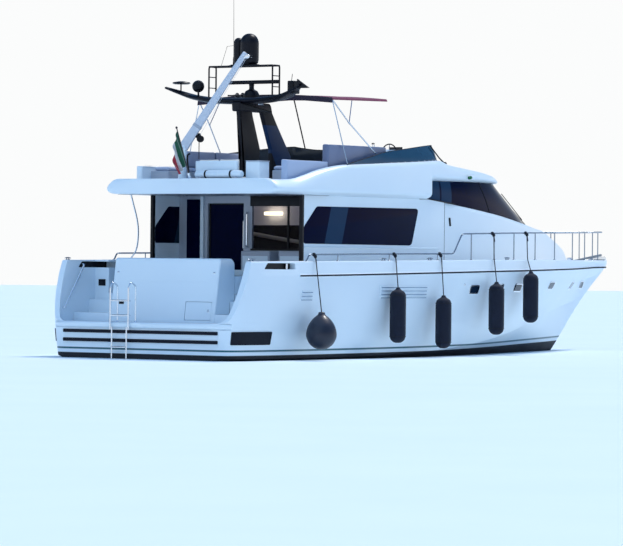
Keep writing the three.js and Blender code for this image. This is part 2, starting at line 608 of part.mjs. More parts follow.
// The pylon: two legs that meet under a swept wing. Columns of the wing: y, aft edge,
// front edge, height, thickness
const PYLON_HALF = 75;
const WING = [
  [-1690, 3040, 3130, 5475, 30], [-1480, 3090, 3360, 5390, 50], [-1100, 3150, 3600, 5270, 80],
  [-600, 3200, 3680, 5205, 100], [0, 3220, 3700, 5190, 105], [600, 3200, 3680, 5205, 100],
  [1100, 3150, 3600, 5270, 80], [1480, 3090, 3360, 5390, 50], [1690, 3040, 3130, 5475, 30],
];
function makePylon() {
  const aftLeg = [[3390, FLY_DECK + GAP], [3640, FLY_DECK + GAP], [3520, 5150], [3250, 5150]];
  const foreLeg = [[4420, FLY_DECK + GAP], [4700, FLY_DECK + GAP], [4160, 5150], [3740, 5150]];
  const crown = [[3240, 5000], [4060, 5000], [4170, 5100], [4150, 5150], [3230, 5160]];
  const wing = loft(WING.map(([y, aft, front, z, thick]) => {
    const middle = (aft + front) / 2;
    return [[aft, y, z - thick * 0.15], [middle, y, z - thick / 2], [front, y, z - thick * 0.25],
      [front, y, z + thick * 0.25], [middle, y, z + thick / 2], [aft, y, z + thick * 0.15]];
  }));
  const pedestal = [
    [0, 5120], [150, 5120], [165, 5300], [120, 5400], [60, 5430], [50, RADAR.z - GAP], [0, RADAR.z - GAP],
  ];
  return join([
    sidePlate(aftLeg, -PYLON_HALF, PYLON_HALF),
    sidePlate(foreLeg, -PYLON_HALF, PYLON_HALF),
    sidePlate(crown, -170, 170),
    wing,
    turned(pedestal, RADAR.x, 0, 16),
  ]);
}
const pylon = add('pylon', makePylon(), blackPaint);

// The pipe frame that stands on the wing and carries the domes over the radar
function makeCage() {
  const { aft, front, half, top } = CAGE;
  const foot = 5232;
  const bars = [-half, half].flatMap((y) => [
    pipe([[aft, y, foot], [aft, y, top], [front, y, top], [front, y, foot]], PIPE),
    ...[5460, 5680].map((z) => rod([aft, y, z], [front, y, z], 10, 6)),
  ]);
  const across = [aft, front].map((x) => rod([x, -half, top], [x, half, top], PIPE));
  const tray = block(aft - 20, front + 20, -420, 300, top, top + 24);
  return join([...bars, ...across, tray]).subtract(pylon.translate([0, 0, GAP]));
}
add('antenna_cage', makeCage(), blackPaint);

// The radar's turning bar
function makeRadarArray() {
  const { x, z, half } = RADAR;
  const bar = [
    [x - 45, z + 30], [x + 45, z + 30], [x + 52, z + 70],
    [x + 38, z + 105], [x - 38, z + 105], [x - 52, z + 70],
  ];
  const hub = turned([[0, z], [55, z], [55, z + 45], [0, z + 45]], x, 0, 12);
  return hub.add(sidePlate(bar, -half, half));
}
add('radar_array', makeRadarArray(), blackPaint);

// Two domes and the whip aerial's foot, on one base plate
function makeDomes() {
  const base = CAGE.top + 24 + GAP;
  const dome = (r, z0, z1) => [
    [0, z0], [r * 0.75, z0], [r, z0 + r * 0.5], [r, z1 - r], [r * 0.87, z1 - r * 0.5],
    [r * 0.5, z1 - r * 0.13], [0, z1],
  ];
  return join([
    block(3390, 3570, -330, 290, base, base + 12),
    turned(dome(165, base + 10, 6530), MAST_X, -150, 20),
    turned(dome(95, base + 10, 6430), MAST_X - 10, 95, 16),
    rod([MAST_X, 268, base + 5], [MAST_X, 268, base + 160], 16, 8),
    rod([MAST_X, 268, base + 150], [MAST_X - 30, 270, 7900], 6, 6),
  ]);
}
add('antenna_domes', makeDomes(), blackPaint);

// The bimini: pipe bows that stand on the coaming, and the canvas over them
function makeBiminiFrame() {
  const { aft, front, half, z } = BIMINI;
  const top = z - 30;
  const y = half - 20;
  const foot = (x) => [x, 2028, coamingTop(x) - 20];
  const corner = [aft + 20, y, top];
  const jaw = [aft + 480, y + 90, 4760];
  const side = join([
    rod(foot(4270), corner, 11),
    pipe([corner, jaw, foot(5560)], 13),
    rod(jaw, [aft + 700, y, top], 10),
    rod(corner, [front - 30, y, top], 11),
  ]);
  const bows = [aft + 20, front - 30].map((x) => rod([x, -y, top], [x, y, top], 12));
  return join([side, mirrored(side), ...bows]).subtract(overFly);
}
add('bimini_frame', makeBiminiFrame(), stainless);
function makeCanvas() {
  const { aft, front, half, z } = BIMINI;
  const low = z - 30 + 8.5;
  const rise = (x) => 70 * Math.sin((Math.PI * (x - aft + 150)) / (front - aft + 300));
  return loft([0, 0.25, 0.5, 0.75, 1].map((t) => {
    const x = aft + t * (front - aft);
    const crown = (y) => low + rise(x) * (1 - (y / half) ** 2 * 0.8);
    const ys = [-half, -half * 0.6, 0, half * 0.6, half];
    return [...ys.map((y) => [x, y, crown(y)]), ...ys.reverse().map((y) => [x, y, crown(y) + 12])];
  }));
}
add('bimini_canvas', makeCanvas(), maroonCanvas);

// The crane: a post on the fly deck, a fork that turns on the post, and a boom that
// luffs in the fork. Fork and boom are made at the origin, pointing forward
const radians = THREE.MathUtils.degToRad;
const FORK = { foot: 3954 + GAP, base: 4030, half: 70, cheek: 16 };
function makeCranePost() {
  const profile = [
    [0, FLY_DECK + GAP], [150, FLY_DECK + GAP], [150, FLY_DECK + 30], [85, FLY_DECK + 60],
    [75, FORK.foot - GAP], [0, FORK.foot - GAP],
  ];
  return turned(profile, CRANE.x, CRANE.y, 20);
}
add('crane_post', makeCranePost(), gelcoat);
function makeFork() {
  const { foot, base, half, cheek } = FORK;
  const outer = half + cheek;
  return join([
    turned([[0, foot], [70, foot], [80, base], [0, base]], 0, 0, 16),
    block(-half, half, -outer, outer, base - 5, base + 25),
    block(-half, half, half, outer, base, CRANE.pivot + 70),
    block(-half, half, -outer, -half, base, CRANE.pivot + 70),
  ]);
}
const fork = makeFork().rotate([0, 0, CRANE.azimuth]).translate([CRANE.x, CRANE.y, 0]);
add('crane_fork', fork, gelcoat);
function makeBoom() {
  const { x, y, pivot, length, azimuth, elevation } = CRANE;
  const flat = join([
    crossPlate([[-62, -85], [62, -85], [62, 85], [-62, 85]], 0, length * 0.58),
    crossPlate([[-48, -66], [48, -66], [48, 66], [-48, 66]], length * 0.5, length),
    rod([0, GAP - FORK.half, 0], [0, FORK.half - GAP, 0], 30, 16),
    rod([length - 30, -30, -80], [length - 30, 30, -80], 70, 16),
  ]);
  return flat.rotate([0, -elevation, 0]).rotate([0, 0, azimuth]).translate([x, y, pivot]);
}
add('crane_boom', makeBoom(), gelcoat);

// The ensign's staff in its socket on the overhang's edge, and the flag hanging from it
const STAFF = { foot: [1690, 0, 3610], head: [1260, 0, 4560] };
add('ensign_staff', join([
  turned([[0, 3560], [38, 3560], [30, 3650], [0, 3650]], STAFF.foot[0], 0, 12),
  rod(STAFF.foot, STAFF.head, 13),
  ball(STAFF.head, 24),
]).subtract(overFly), teak);
const hoist = (z) => {
  const share = (z - STAFF.foot[2]) / (STAFF.head[2] - STAFF.foot[2]);
  return [STAFF.foot[0] + share * (STAFF.head[0] - STAFF.foot[0]) - 13.6, z];
};
const FOLDS = [hoist(4400), hoist(3800), [1455, 3660], [1275, 3640], [1155, 3800], [1205, 4100]];
add('ensign', sidePlate(FOLDS, -40, 40), flagCloth);

// The boarding ladder: an upper flight with its hand hoops, and a lower one that folds
function makeUpperFlight() {
  const { x, y, half, hinge } = LADDER;
  const hoop = [[0, hinge - 30], [0, 1430], [80, 1500], [230, 1440], [230, PLATFORM.top + GAP]];
  const post = (s) => pipe(hoop.map(([out, z]) => [x + out, y + s * half, z]), RAIL);
  const tread = (z) => block(x - 12, x + 90, y - half, y + half, z - 15, z + 15);
  return join([post(1), post(-1), tread(850), tread(1140)]);
}
add('ladder_upper', makeUpperFlight(), stainless);
function makeLowerFlight() {
  const { x, y, half, hinge } = LADDER;
  const inner = half - 42;
  const post = (s) => rod([x, y + s * inner, hinge + 18], [x, y + s * inner, -480], RAIL, 8);
  const pin = (s) => rod([x, y + s * (inner - 4), hinge], [x, y + s * (half - RAIL - GAP), hinge], 8, 8);
  const tread = (z) => block(x - 50, x + 32, y - inner, y + inner, z - 14, z + 14);
  return join([post(1), post(-1), pin(1), pin(-1), tread(230), tread(-70), tread(-370)]);
}
add('ladder_lower', makeLowerFlight(), stainless);

// Rails. The low ones stand on the bulwarks, the high one runs round the bow
const SIDE_RAIL = [2440, 3400, 4300, 5200, 6100, 7000, 7700];
const ON_BULWARK = 55;
const railPoint = (x, rise) => [x, sheerAt(x) - ON_BULWARK, sheerTop(x) + rise];
const sideRun = SIDE_RAIL.map((x) => railPoint(x, 130));
function makeSideRail() {
  const [first, last] = [SIDE_RAIL[0] - 90, SIDE_RAIL.at(-1) + 90];
  const posts = SIDE_RAIL.slice(1, -1).filter((_, i) => i % 2 === 0)
    .map((x) => rod(railPoint(x, -20), railPoint(x, 130), 11));
  const rail = pipe([railPoint(first, -20), ...sideRun, railPoint(last, -20)], RAIL);
  return join([rail, ...posts]).subtract(overHull);
}
const sideRail = makeSideRail();
add('side_rail_port', sideRail, stainless);
add('side_rail_starboard', mirrored(sideRail), stainless);

const BOW_RAIL = [8150, 9300, 10500, 11700, 12900, 14100, 15200, 16200, 16900];
const bowRun = BOW_RAIL.map((x) => railPoint(x, lookUp([[8150, 545], [16900, 640]], x, 1)));
function makeBowRail() {
  const bow = [[17180, 150, 2705], [17300, 60, 2708]];
  const half = [railPoint(7960, -20), ...bowRun, ...bow];
  const loop = [...half, ...half.map(([x, y, z]) => [x, -y, z]).reverse()];
  const posts = [-1, 1].flatMap((s) => bowRun.slice(1).map(([x, y, z]) =>
    rod([x - 60, s * y, sheerTop(x - 60) - 4], [x, s * y, z], 12)));
  return join([pipe(loop, RAIL), ...posts]).subtract(overHull);
}
const bowRail = makeBowRail();
add('bow_rail', bowRail, stainless);

// The anchor on its roller at the stem head, with the chain's windlass abaft it
function makeAnchor() {
  const deck = FOREDECK + GAP;
  const windlass = [[0, 20], [90, 20], [90, 60], [55, 100], [80, 170], [0, 180]];
  return join([
    block(16000, 17000, -45, 45, deck, deck + 30),
    block(16900, 17560, -45, 45, 2070, 2110),
    block(16900, 16990, -45, 45, deck, 2110),
    rod([16100, 0, deck + 90], [17400, 0, 2180], 22),
    block(16060, 16150, -20, 20, deck, deck + 110),
    block(17380, 17420, -20, 20, 2100, 2190),
    turned(windlass.map(([r, z]) => [r, deck + z]), 16030, 0, 16),
  ]);
}
add('anchor_gear', makeAnchor().subtract(overHull), stainless);

// The coachroof's hatch lid, hinged at its aft edge
const trunkTop = (x) => lookUp(TRUNK, x, 3);
add('deck_hatch', sidePlate([
  [HATCH.aft, trunkTop(HATCH.aft) + GAP], [HATCH.front, trunkTop(HATCH.front) + GAP],
  [HATCH.front + 6, trunkTop(HATCH.front) + 32], [HATCH.aft + 6, trunkTop(HATCH.aft) + 32],
], -HATCH.half, HATCH.half), tinted);

// Fenders, whose lines are made fast round the rails of the starboard side. Columns: x,
// lower end, upper end
const FENDERS = [[5200, 320, 1410], [6880, 190, 1250], [9080, 450, 1530], [10800, 690, 1760]];
function hangFender(x, profile, reach) {
  const [run, rail] = x < BOW_RAIL[0] ? [sideRun, sideRail] : [bowRun, bowRail];
  const y = -(Math.max(sheerAt(x), rubAt(x)) + reach);
  const edge = [x, -(sheerAt(x) + 14), sheerTop(x) + 10];
  const hitch = [x, -lookUp(run, x, 1), lookUp(run, x, 2)];
  const line = pipe([[x, y, profile.at(-2)[1] - 5], edge, hitch], 6, 6);
  const starboardRail = mirrored(rail);
  return cut(turned(profile, x, y, 18).add(line), [starboardRail, starboardRail.translate([0, -GAP, 0])]);
}
FENDERS.forEach(([x, low, high], i) => {
  const r = FENDER;
  const profile = [
    [0, low], [r * 0.35, low + 10], [r * 0.85, low + 70], [r, low + 150], [r, high - 150],
    [r * 0.85, high - 70], [r * 0.3, high - 10], [r * 0.25, high + 40], [0, high + 40],
  ];
  add(`fender_${i + 2}`, hangFender(x, profile, r + 40), navyVinyl);
});
const ball1 = [
  [0, 220], [120, 245], [235, 330], [300, 470], [300, 560],
  [262, 700], [170, 830], [70, 910], [55, 960], [0, 960],
];
add('fender_1', hangFender(2450, ball1, 340), navyVinyl);

// Under the water: shafts in their brackets, propellers of opposite hand, and rudders.
// Columns of a blade: radius, chord, pitch angle
const BLADE = [[45, 150, 62], [130, 210, 54], [220, 220, 46], [290, 160, 40], [PROPELLER.radius, 60, 36]];
function makeShaft() {
  const [c, s] = [Math.cos(radians(SHAFT_ANGLE)), Math.sin(radians(SHAFT_ANGLE))];
  const along = (reach) => [PROPELLER.x + reach * c, SHAFT_Y, PROPELLER.z + reach * s];
  const foot = (reach) => [along(reach)[0], along(reach)[2]];
  return join([
    rod(along(PROPELLER.hub / 2 + GAP), along(3300), 38, 12),
    rod(along(220), along(480), 60, 14),
    sidePlate([foot(265), foot(410), [1900, -300], [1720, -300]], SHAFT_Y - 13, SHAFT_Y + 13),
  ]);
}
const shaft = makeShaft().subtract(block(1000, 5200, 0, 1400, -300, 400)).subtract(underHull);
add('shaft_port', shaft, stainless);
add('shaft_starboard', mirrored(shaft), stainless);
function makePropeller() {
  const hub = new THREE.CylinderGeometry(52, 62, PROPELLER.hub, 14).rotateZ(Math.PI / 2);
  const blade = loft(BLADE.map(([r, chord, pitch]) => {
    const [c, s] = [Math.cos(radians(pitch)), Math.sin(radians(pitch))];
    const corners = [[-chord / 2, -7], [chord / 2, -7], [chord / 2, 7], [-chord / 2, 7]];
    return corners.map(([u, v]) => [u * s + v * c, u * c - v * s, r]);
  }));
  const blades = [0, 90, 180, 270].map((degrees) => blade.rotate([degrees, 0, 0]));
  const placed = join([solid(hub), ...blades]).rotate([0, -SHAFT_ANGLE, 0]);
  return placed.translate([PROPELLER.x, SHAFT_Y, PROPELLER.z]);
}
const propeller = makePropeller();
add('propeller_port', propeller, bronze);
add('propeller_starboard', mirrored(propeller), bronze);
function makeRudder() {
  const { x, z, thick, gland } = RUDDER;
  const outline = [[560, -640], [900, -650], [930, -1180], [860, z], [590, z]];
  const blade = sidePlate(outline, -thick / 2, thick / 2);
  const stock = rod([x, 0, -700], [x, 0, gland - GAP], 30, 12);
  return blade.add(stock).translate([0, SHAFT_Y, 0]);
}
const rudder = makeRudder();
add('rudder_port', rudder, bronze);
add('rudder_starboard', mirrored(rudder), bronze);

export default yacht;
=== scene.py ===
"""A motor yacht of about 17.6 m with a flying bridge, afloat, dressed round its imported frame.

Metres. +X runs to the bow, +Y to port, +Z up, and z = 0 is the water.
"""
import math

import bpy
import numpy as np
from mathutils import Matrix, Vector


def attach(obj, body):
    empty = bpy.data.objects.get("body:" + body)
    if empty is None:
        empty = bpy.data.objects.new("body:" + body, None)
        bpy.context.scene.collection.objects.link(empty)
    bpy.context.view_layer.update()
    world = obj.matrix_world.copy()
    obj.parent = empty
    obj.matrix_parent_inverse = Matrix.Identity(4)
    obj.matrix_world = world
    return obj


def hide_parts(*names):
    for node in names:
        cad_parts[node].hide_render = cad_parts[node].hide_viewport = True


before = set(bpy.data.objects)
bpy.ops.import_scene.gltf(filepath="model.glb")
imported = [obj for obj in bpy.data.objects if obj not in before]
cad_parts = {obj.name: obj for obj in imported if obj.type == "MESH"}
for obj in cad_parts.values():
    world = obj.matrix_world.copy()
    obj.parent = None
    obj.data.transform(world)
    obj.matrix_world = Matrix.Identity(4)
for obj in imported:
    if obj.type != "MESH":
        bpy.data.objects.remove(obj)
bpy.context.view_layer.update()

# Camera: a long lens astern and to starboard of the yacht, near the water. The angles were
# fitted to points of the yacht whose places are known.
EYE = Vector((-60.26, -47.38, 1.84))
HEADING, PITCH, ROLL = math.radians(35.61), math.radians(-0.09), math.radians(0.58)
FOCAL_PIXELS, FRAME_WIDTH, SENSOR = 3919, 623, 36
ahead = Vector((math.cos(HEADING) * math.cos(PITCH), math.sin(HEADING) * math.cos(PITCH), math.sin(PITCH)))
level = Vector((math.sin(HEADING), -math.cos(HEADING), 0))
above = level.cross(ahead)
right = level * math.cos(ROLL) + above * math.sin(ROLL)
upward = above * math.cos(ROLL) - level * math.sin(ROLL)
camera = bpy.data.objects.new("camera", bpy.data.cameras.new("camera"))
camera.matrix_world = Matrix.Translation(EYE) @ Matrix((right, upward, -ahead)).transposed().to_4x4()
camera.data.sensor_width = SENSOR
camera.data.lens = FOCAL_PIXELS / FRAME_WIDTH * SENSOR
camera.data.clip_end = 600
bpy.context.collection.objects.link(camera)
bpy.context.scene.camera = camera


# Shader maths: a wire is one output in a finish, and an expression on wires adds its nodes.
class Wire:
    """One output in a finish. The signs + - * add Math nodes."""

    def __init__(self, finish, socket):
        self.finish, self.socket = finish, socket

    def math(self, operation, *values, clamp=False):
        return self.finish.node("ShaderNodeMath", {"operation": operation, "use_clamp": clamp}, *values)

    def __add__(self, other):
        return self.math("ADD", self, other)

    def __sub__(self, other):
        return self.math("SUBTRACT", self, other)

    def __rsub__(self, other):
        return self.math("SUBTRACT", other, self)

    def __mul__(self, other):
        return self.math("MULTIPLY", self, other)

    __radd__ = __add__
    __rmul__ = __mul__

    def past(self, edge, soft):
        """0 below the edge and 1 above it, over a band as wide as soft."""
        return self.math("MULTIPLY_ADD", self - edge, 1 / soft, 0.5, clamp=True)


class Finish:
    """A material of one Principled shader. Its sockets take numbers, or wires that node() makes."""

    def __init__(self, name, **sockets):
        self.material = bpy.data.materials.new(name)
        self.material.use_nodes = True
        self.tree = self.material.node_tree
        self.shader = self.tree.nodes["Principled BSDF"]
        self.feed(**sockets)

    def put(self, socket, value):
        if isinstance(value, Wire):
            self.tree.links.new(value.socket, socket)
        else:
            socket.default_value = value

    def feed(self, **sockets):
        for name, value in sockets.items():
            self.put(self.shader.inputs[name.replace("_", " ")], value)

    def node(self, kind, settings=None, *values, out=0, **named):
        """Adds one node: its settings first, then its sockets by number and by name."""
        node = self.tree.nodes.new(kind)
        for key, value in (settings or {}).items():
            setattr(node, key, value)
        for number, value in enumerate(values):
            self.put(node.inputs[number], value)
        for name, value in named.items():
            self.put(node.inputs[name.replace("_", " ")], value)
        return Wire(self, node.outputs[out])

    def place(self):
        """The point of the surface in the yacht's own metres."""
        return self.node("ShaderNodeTexCoord", out=3)

    def axis(self, number):
        return self.node("ShaderNodeSeparateXYZ", None, self.place(), out=number)

    def facing(self, number):
        """One part of the surface's own normal."""
        return self.node("ShaderNodeSeparateXYZ", None, self.node("ShaderNodeNewGeometry", out=1),
                         out=number)

    def noise(self, scale, detail=3.0, stretch=(1, 1, 1)):
        spread = self.node("ShaderNodeMapping", None, self.place(), Scale=stretch)
        return self.node("ShaderNodeTexNoise", None, Vector=spread, Scale=scale, Detail=detail)

    def blend(self, mask, first, second):
        """The first colour where the mask is 0, the second where it is 1."""
        mixer = self.tree.nodes.new("ShaderNodeMix")
        mixer.data_type = "RGBA"
        for number, value in ((0, mask), (6, first), (7, second)):
            self.put(mixer.inputs[number], value)
        return Wire(self, mixer.outputs[2])

    def bump(self, height, distance, strength=1.0):
        self.feed(Normal=self.node("ShaderNodeBump", None, Strength=strength, Distance=distance,
                                   Height=height))


def tint(red, green, blue):
    """A colour as read off a screen, 0 to 255, in the shader's linear numbers."""
    return (*((np.array([red, green, blue]) / 255) ** 2.2).tolist(), 1.0)


def coated(name, first, second, patches, rough=None, relief=None, **sockets):
    """A finish of two shades in patches of noise. rough is the least roughness, what noise adds to
    it, and that noise; relief is the depth and the strength of the bumps, and their noise."""
    finish = Finish(name, **sockets)
    finish.feed(Base_Color=finish.blend(finish.noise(*patches), tint(*first), tint(*second)))
    if rough:
        least, more, *grain = rough
        finish.feed(Roughness=least + finish.noise(*grain) * more)
    if relief:
        depth, strength, *grain = relief
        finish.bump(finish.noise(*grain), depth, strength)
    return finish


# Skins: closed surfaces as arrays of points and faces. Each shape below is a profile carried
# along a path or a grid of two parameters, worked out as whole arrays.
def outward(points, faces):
    """The skin with its faces turned out: all are flipped if the enclosed volume is below zero."""
    def enclosed(corners):
        first = points[corners[:, 0]]
        return sum(np.einsum("ij,ij->", first, np.cross(points[corners[:, k]], points[corners[:, k + 1]]))
                   for k in range(1, corners.shape[1] - 1))
    if sum(enclosed(corners) for corners in faces) < 0:
        faces = [corners[:, ::-1] for corners in faces]
    return points, faces


def loft(rings):
    """A skin over rings of equally many points, with a flat face over each end."""
    rings = np.asarray(rings, float)
    count, size = rings.shape[:2]
    index = np.arange(count * size).reshape(count, size)
    after = np.roll(index, -1, axis=1)
    quads = np.stack([index[:-1], after[:-1], after[1:], index[1:]], axis=-1).reshape(-1, 4)
    return outward(rings.reshape(-1, 3), [quads, index[:1, ::-1], index[-1:]])


def ringed(rings):
    """A skin over rings that come back to the first one."""
    rings = np.asarray(rings, float)
    index = np.arange(rings.shape[0] * rings.shape[1]).reshape(rings.shape[:2])
    ahead_of, beside = np.roll(index, -1, axis=0), np.roll(index, -1, axis=1)
    quads = np.stack([index, beside, np.roll(beside, -1, axis=0), ahead_of], axis=-1).reshape(-1, 4)
    return outward(rings.reshape(-1, 3), [quads])


def arcs(points, radius, closed=False, steps=5):
    """The path with each corner replaced by a curve that starts and ends a radius away from it:
    p(t) = (1-t)^2 before + 2 t (1-t) corner + t^2 after. A point may be a whole row of stations."""
    points = np.asarray(points, float)
    t = np.linspace(0, 1, steps + 1).reshape(-1, *[1] * (points.ndim - 1))
    run = []
    for k, corner in enumerate(points):
        if not closed and k in (0, len(points) - 1):
            run.append(corner[None])
            continue
        ends = []
        for other in (points[k - 1], points[(k + 1) % len(points)]):
            reach = np.maximum(np.linalg.norm(other - corner, axis=-1, keepdims=True), 1e-9)
            ends.append(corner + (other - corner) * np.minimum(radius / reach, 0.48))
        run.append((1 - t) ** 2 * ends[0] + 2 * t * (1 - t) * corner + t ** 2 * ends[1])
    return np.concatenate(run)


def tube(points, radius, sides=12, bend=0.0, closed=False):
    """A round section carried along a path: c + r (cos a n + sin a b), where n and b stand square to
    the path. The radius is one number or one for each point."""
    path = arcs(points, bend, closed) if bend else np.asarray(points, float)
    if closed:
        along = np.roll(path, -1, axis=0) - np.roll(path, 1, axis=0)
    else:
        along = np.gradient(path, axis=0)
    along /= np.linalg.norm(along, axis=1, keepdims=True)
    square = np.linalg.svd(along)[2][-1]
    normal = np.cross(along, square)
    normal /= np.linalg.norm(normal, axis=1, keepdims=True)
    other = np.cross(along, normal)
    angle = np.linspace(0, 2 * np.pi, sides, endpoint=False)[None, :, None]
    spread = np.cos(angle) * normal[:, None] + np.sin(angle) * other[:, None]
    rings = path[:, None] + np.reshape(radius, (-1, 1, 1)) * spread
    return ringed(rings) if closed else loft(rings)


def turned(profile, origin=(0, 0, 0), axis=(0, 0, 1), sides=32):
    """A profile of radius and height turned round an axis: o + h k + r (cos a i + sin a j)."""
    radius, height = np.asarray(profile, float).T
    up = np.array(axis, float) / np.linalg.norm(axis)
    side = np.cross(up, (0, 1, 0) if abs(up[1]) < 0.9 else (1, 0, 0))
    side /= np.linalg.norm(side)
    angle = np.linspace(0, 2 * np.pi, sides, endpoint=False)[None, :, None]
    spread = np.cos(angle) * side + np.sin(angle) * np.cross(up, side)
    rings = np.array(origin) + height[:, None, None] * up + np.maximum(radius, 2e-4)[:, None, None] * spread
    return loft(rings)


def inset(outline, depth):
    """A closed flat outline moved inwards: each corner slides along the sum of its edges' normals."""
    outline = np.asarray(outline, float)
    edge = np.roll(outline, -1, axis=0) - outline
    after = np.roll(edge, -1, axis=0)
    turn = np.sum(edge[:, 0] * after[:, 1] - edge[:, 1] * after[:, 0])
    normal = np.sign(turn) * np.stack([-edge[:, 1], edge[:, 0]], axis=1)
    normal /= np.linalg.norm(normal, axis=1, keepdims=True)
    before = np.roll(normal, 1, axis=0)
    share = 1 + np.sum(normal * before, axis=1, keepdims=True)
    return outline + depth * (normal + before) / np.maximum(share, 0.3)


PLANES = {"xy": (0, 1, 2), "xz": (0, 2, 1), "yz": (1, 2, 0)}


def plate(outline, plane, low, high, edge=0.0, steps=4):
    """A flat outline carried from low to high across its plane, its rims rounded to a quarter circle."""
    outline = np.asarray(outline, float)
    levels = [(0.0, low), (0.0, high)]
    if edge:
        angle = np.linspace(0, np.pi / 2, steps + 1)
        rim = [(edge * (1 - math.sin(a)), edge * (1 - math.cos(a))) for a in angle]
        levels = [(d, low + z) for d, z in rim] + [(d, high - z) for d, z in reversed(rim)]
    rings = np.empty((len(levels), len(outline), 3))
    first, second, third = PLANES[plane]
    for ring, (depth, height) in zip(rings, levels):
        ring[:, [first, second]] = inset(outline, depth) if depth else outline
        ring[:, third] = height
    return loft(rings)


def slab(x0, x1, y0, y1, z0, z1, corner=0.0, edge=0.0, steps=4):
    """A block with rounded upright corners and rounded rims."""
    outline = [(x0, y0), (x1, y0), (x1, y1), (x0, y1)]
    return plate(arcs(outline, corner, True, steps) if corner else outline, "xy", z0, z1, edge, steps)


def moved(skin, turn, shift):
    """The skin turned by a 3 x 3 matrix, unless turn is None, and shifted."""
    points, faces = skin
    return (points @ np.asarray(turn).T if turn is not None else points) + np.array(shift), faces


def mirrored(skin):
    """The skin's twin on the other side of the centreline."""
    points, faces = skin
    return outward(points * (1, -1, 1), faces)


HANDS = (("port", lambda skin: skin), ("starboard", mirrored))


def both(*skins):
    return [*skins, *map(mirrored, skins)]


def make_mesh(name, skins):
    mesh = bpy.data.meshes.new(name)
    points = np.concatenate([skin[0] for skin in skins])
    starts = np.cumsum([0] + [len(skin[0]) for skin in skins])
    faces = [row for (_, groups), start in zip(skins, starts) for group in groups
             for row in (group + start).tolist()]
    mesh.from_pydata(points.tolist(), [], faces)
    return mesh


def piece(name, coats, body="root", replaces=(), crease=30):
    """One object of the yacht. coats gives each finish its skins; edges sharper than crease stay sharp."""
    mesh = make_mesh(name, [skin for skins in coats.values() for skin in skins])
    counts = [sum(len(group) for _, groups in skins for group in groups) for skins in coats.values()]
    mesh.polygons.foreach_set("material_index", np.repeat(np.arange(len(counts)), counts))
    for finish in coats:
        mesh.materials.append(finish.material)
    mesh.shade_smooth()
    mesh.set_sharp_from_angle(angle=math.radians(crease))
    thing = bpy.data.objects.new(name, mesh)
    bpy.context.collection.objects.link(thing)
    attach(thing, body)
    if replaces:
        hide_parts(*replaces)
    return thing


def skin_of(mesh):
    """A Blender mesh read back as a skin, its faces grouped by their number of corners."""
    points = np.empty(len(mesh.vertices) * 3)
    mesh.vertices.foreach_get("co", points)
    sizes, corners = np.empty(len(mesh.polygons), int), np.empty(len(mesh.loops), int)
    mesh.polygons.foreach_get("loop_total", sizes)
    mesh.loops.foreach_get("vertex_index", corners)
    starts = np.cumsum(sizes) - sizes
    faces = [corners[starts[sizes == size][:, None] + np.arange(size)] for size in np.unique(sizes)]
    return points.reshape(-1, 3), faces


def carved(skins, cutters):
    """The skins with the cutters' space taken away, as one skin."""
    def temporary(parts):
        thing = bpy.data.objects.new("blank", make_mesh("blank", parts))
        bpy.context.collection.objects.link(thing)
        return thing
    blank, tools = temporary(skins), [temporary([cutter]) for cutter in cutters]
    for tool in tools:
        step = blank.modifiers.new("cut", "BOOLEAN")
        step.operation, step.solver, step.object = "DIFFERENCE", "EXACT", tool
    skin = skin_of(blank.evaluated_get(bpy.context.evaluated_depsgraph_get()).to_mesh())
    for thing in (blank, *tools):
        bpy.data.meshes.remove(thing.data)
    return skin


# Floor and light: a pale floor at the waterline, a soft key from high over the starboard bow, a
# weak fill from astern and an open sky that is white near the horizon and blue above it.
bpy.context.scene.view_settings.view_transform = "Standard"
FLOOR_RADIUS = 260
floor_finish = coated("studio_floor", (226, 240, 246), (234, 246, 250), (0.35,), Roughness=0.62,
                      Specular_IOR_Level=0.3)
floor_disc = turned([(0.01, 0), (12, 0), (40, 0), (110, 0), (FLOOR_RADIUS, 0), (FLOOR_RADIUS, -0.02)],
                    (8, 0, 0), sides=96)
floor = bpy.data.objects.new("studio_floor", make_mesh("studio_floor", [floor_disc]))
floor.data.materials.append(floor_finish.material)
bpy.context.collection.objects.link(floor)

for name, energy, softness, colour, height, bearing in (("key", 2.5, 14, (1.0, 0.97, 0.92), 58, -8),
                                                        ("fill", 0.75, 70, (0.72, 0.9, 1.0), 52, 184)):
    sun = bpy.data.objects.new(name, bpy.data.lights.new(name, "SUN"))
    sun.data.energy, sun.data.angle, sun.data.color = energy, math.radians(softness), colour
    height, bearing = math.radians(height), math.radians(bearing)
    from_sun = Vector((math.cos(height) * math.cos(bearing), math.cos(height) * math.sin(bearing),
                       math.sin(height)))
    sun.matrix_world = from_sun.to_track_quat("Z", "Y").to_matrix().to_4x4()
    bpy.context.collection.objects.link(sun)

world = bpy.data.worlds.new("sky")
bpy.context.scene.world = world
world.use_nodes = True
sky = world.node_tree
direction = sky.nodes.new("ShaderNodeTexCoord")
split = sky.nodes.new("ShaderNodeSeparateXYZ")
ramp = sky.nodes.new("ShaderNodeValToRGB")
ramp.color_ramp.elements[0].position = 0.10
ramp.color_ramp.elements[0].color = tint(251, 252, 252)
ramp.color_ramp.elements[1].position = 0.22
ramp.color_ramp.elements[1].color = tint(112, 154, 196)
ramp.color_ramp.elements.new(0.7).color = tint(72, 124, 188)
sky.links.new(direction.outputs["Generated"], split.inputs[0])
sky.links.new(split.outputs[2], ramp.inputs[0])
sky.links.new(ramp.outputs[0], sky.nodes["Background"].inputs["Color"])
sky.nodes["Background"].inputs["Strength"].default_value = 1.0


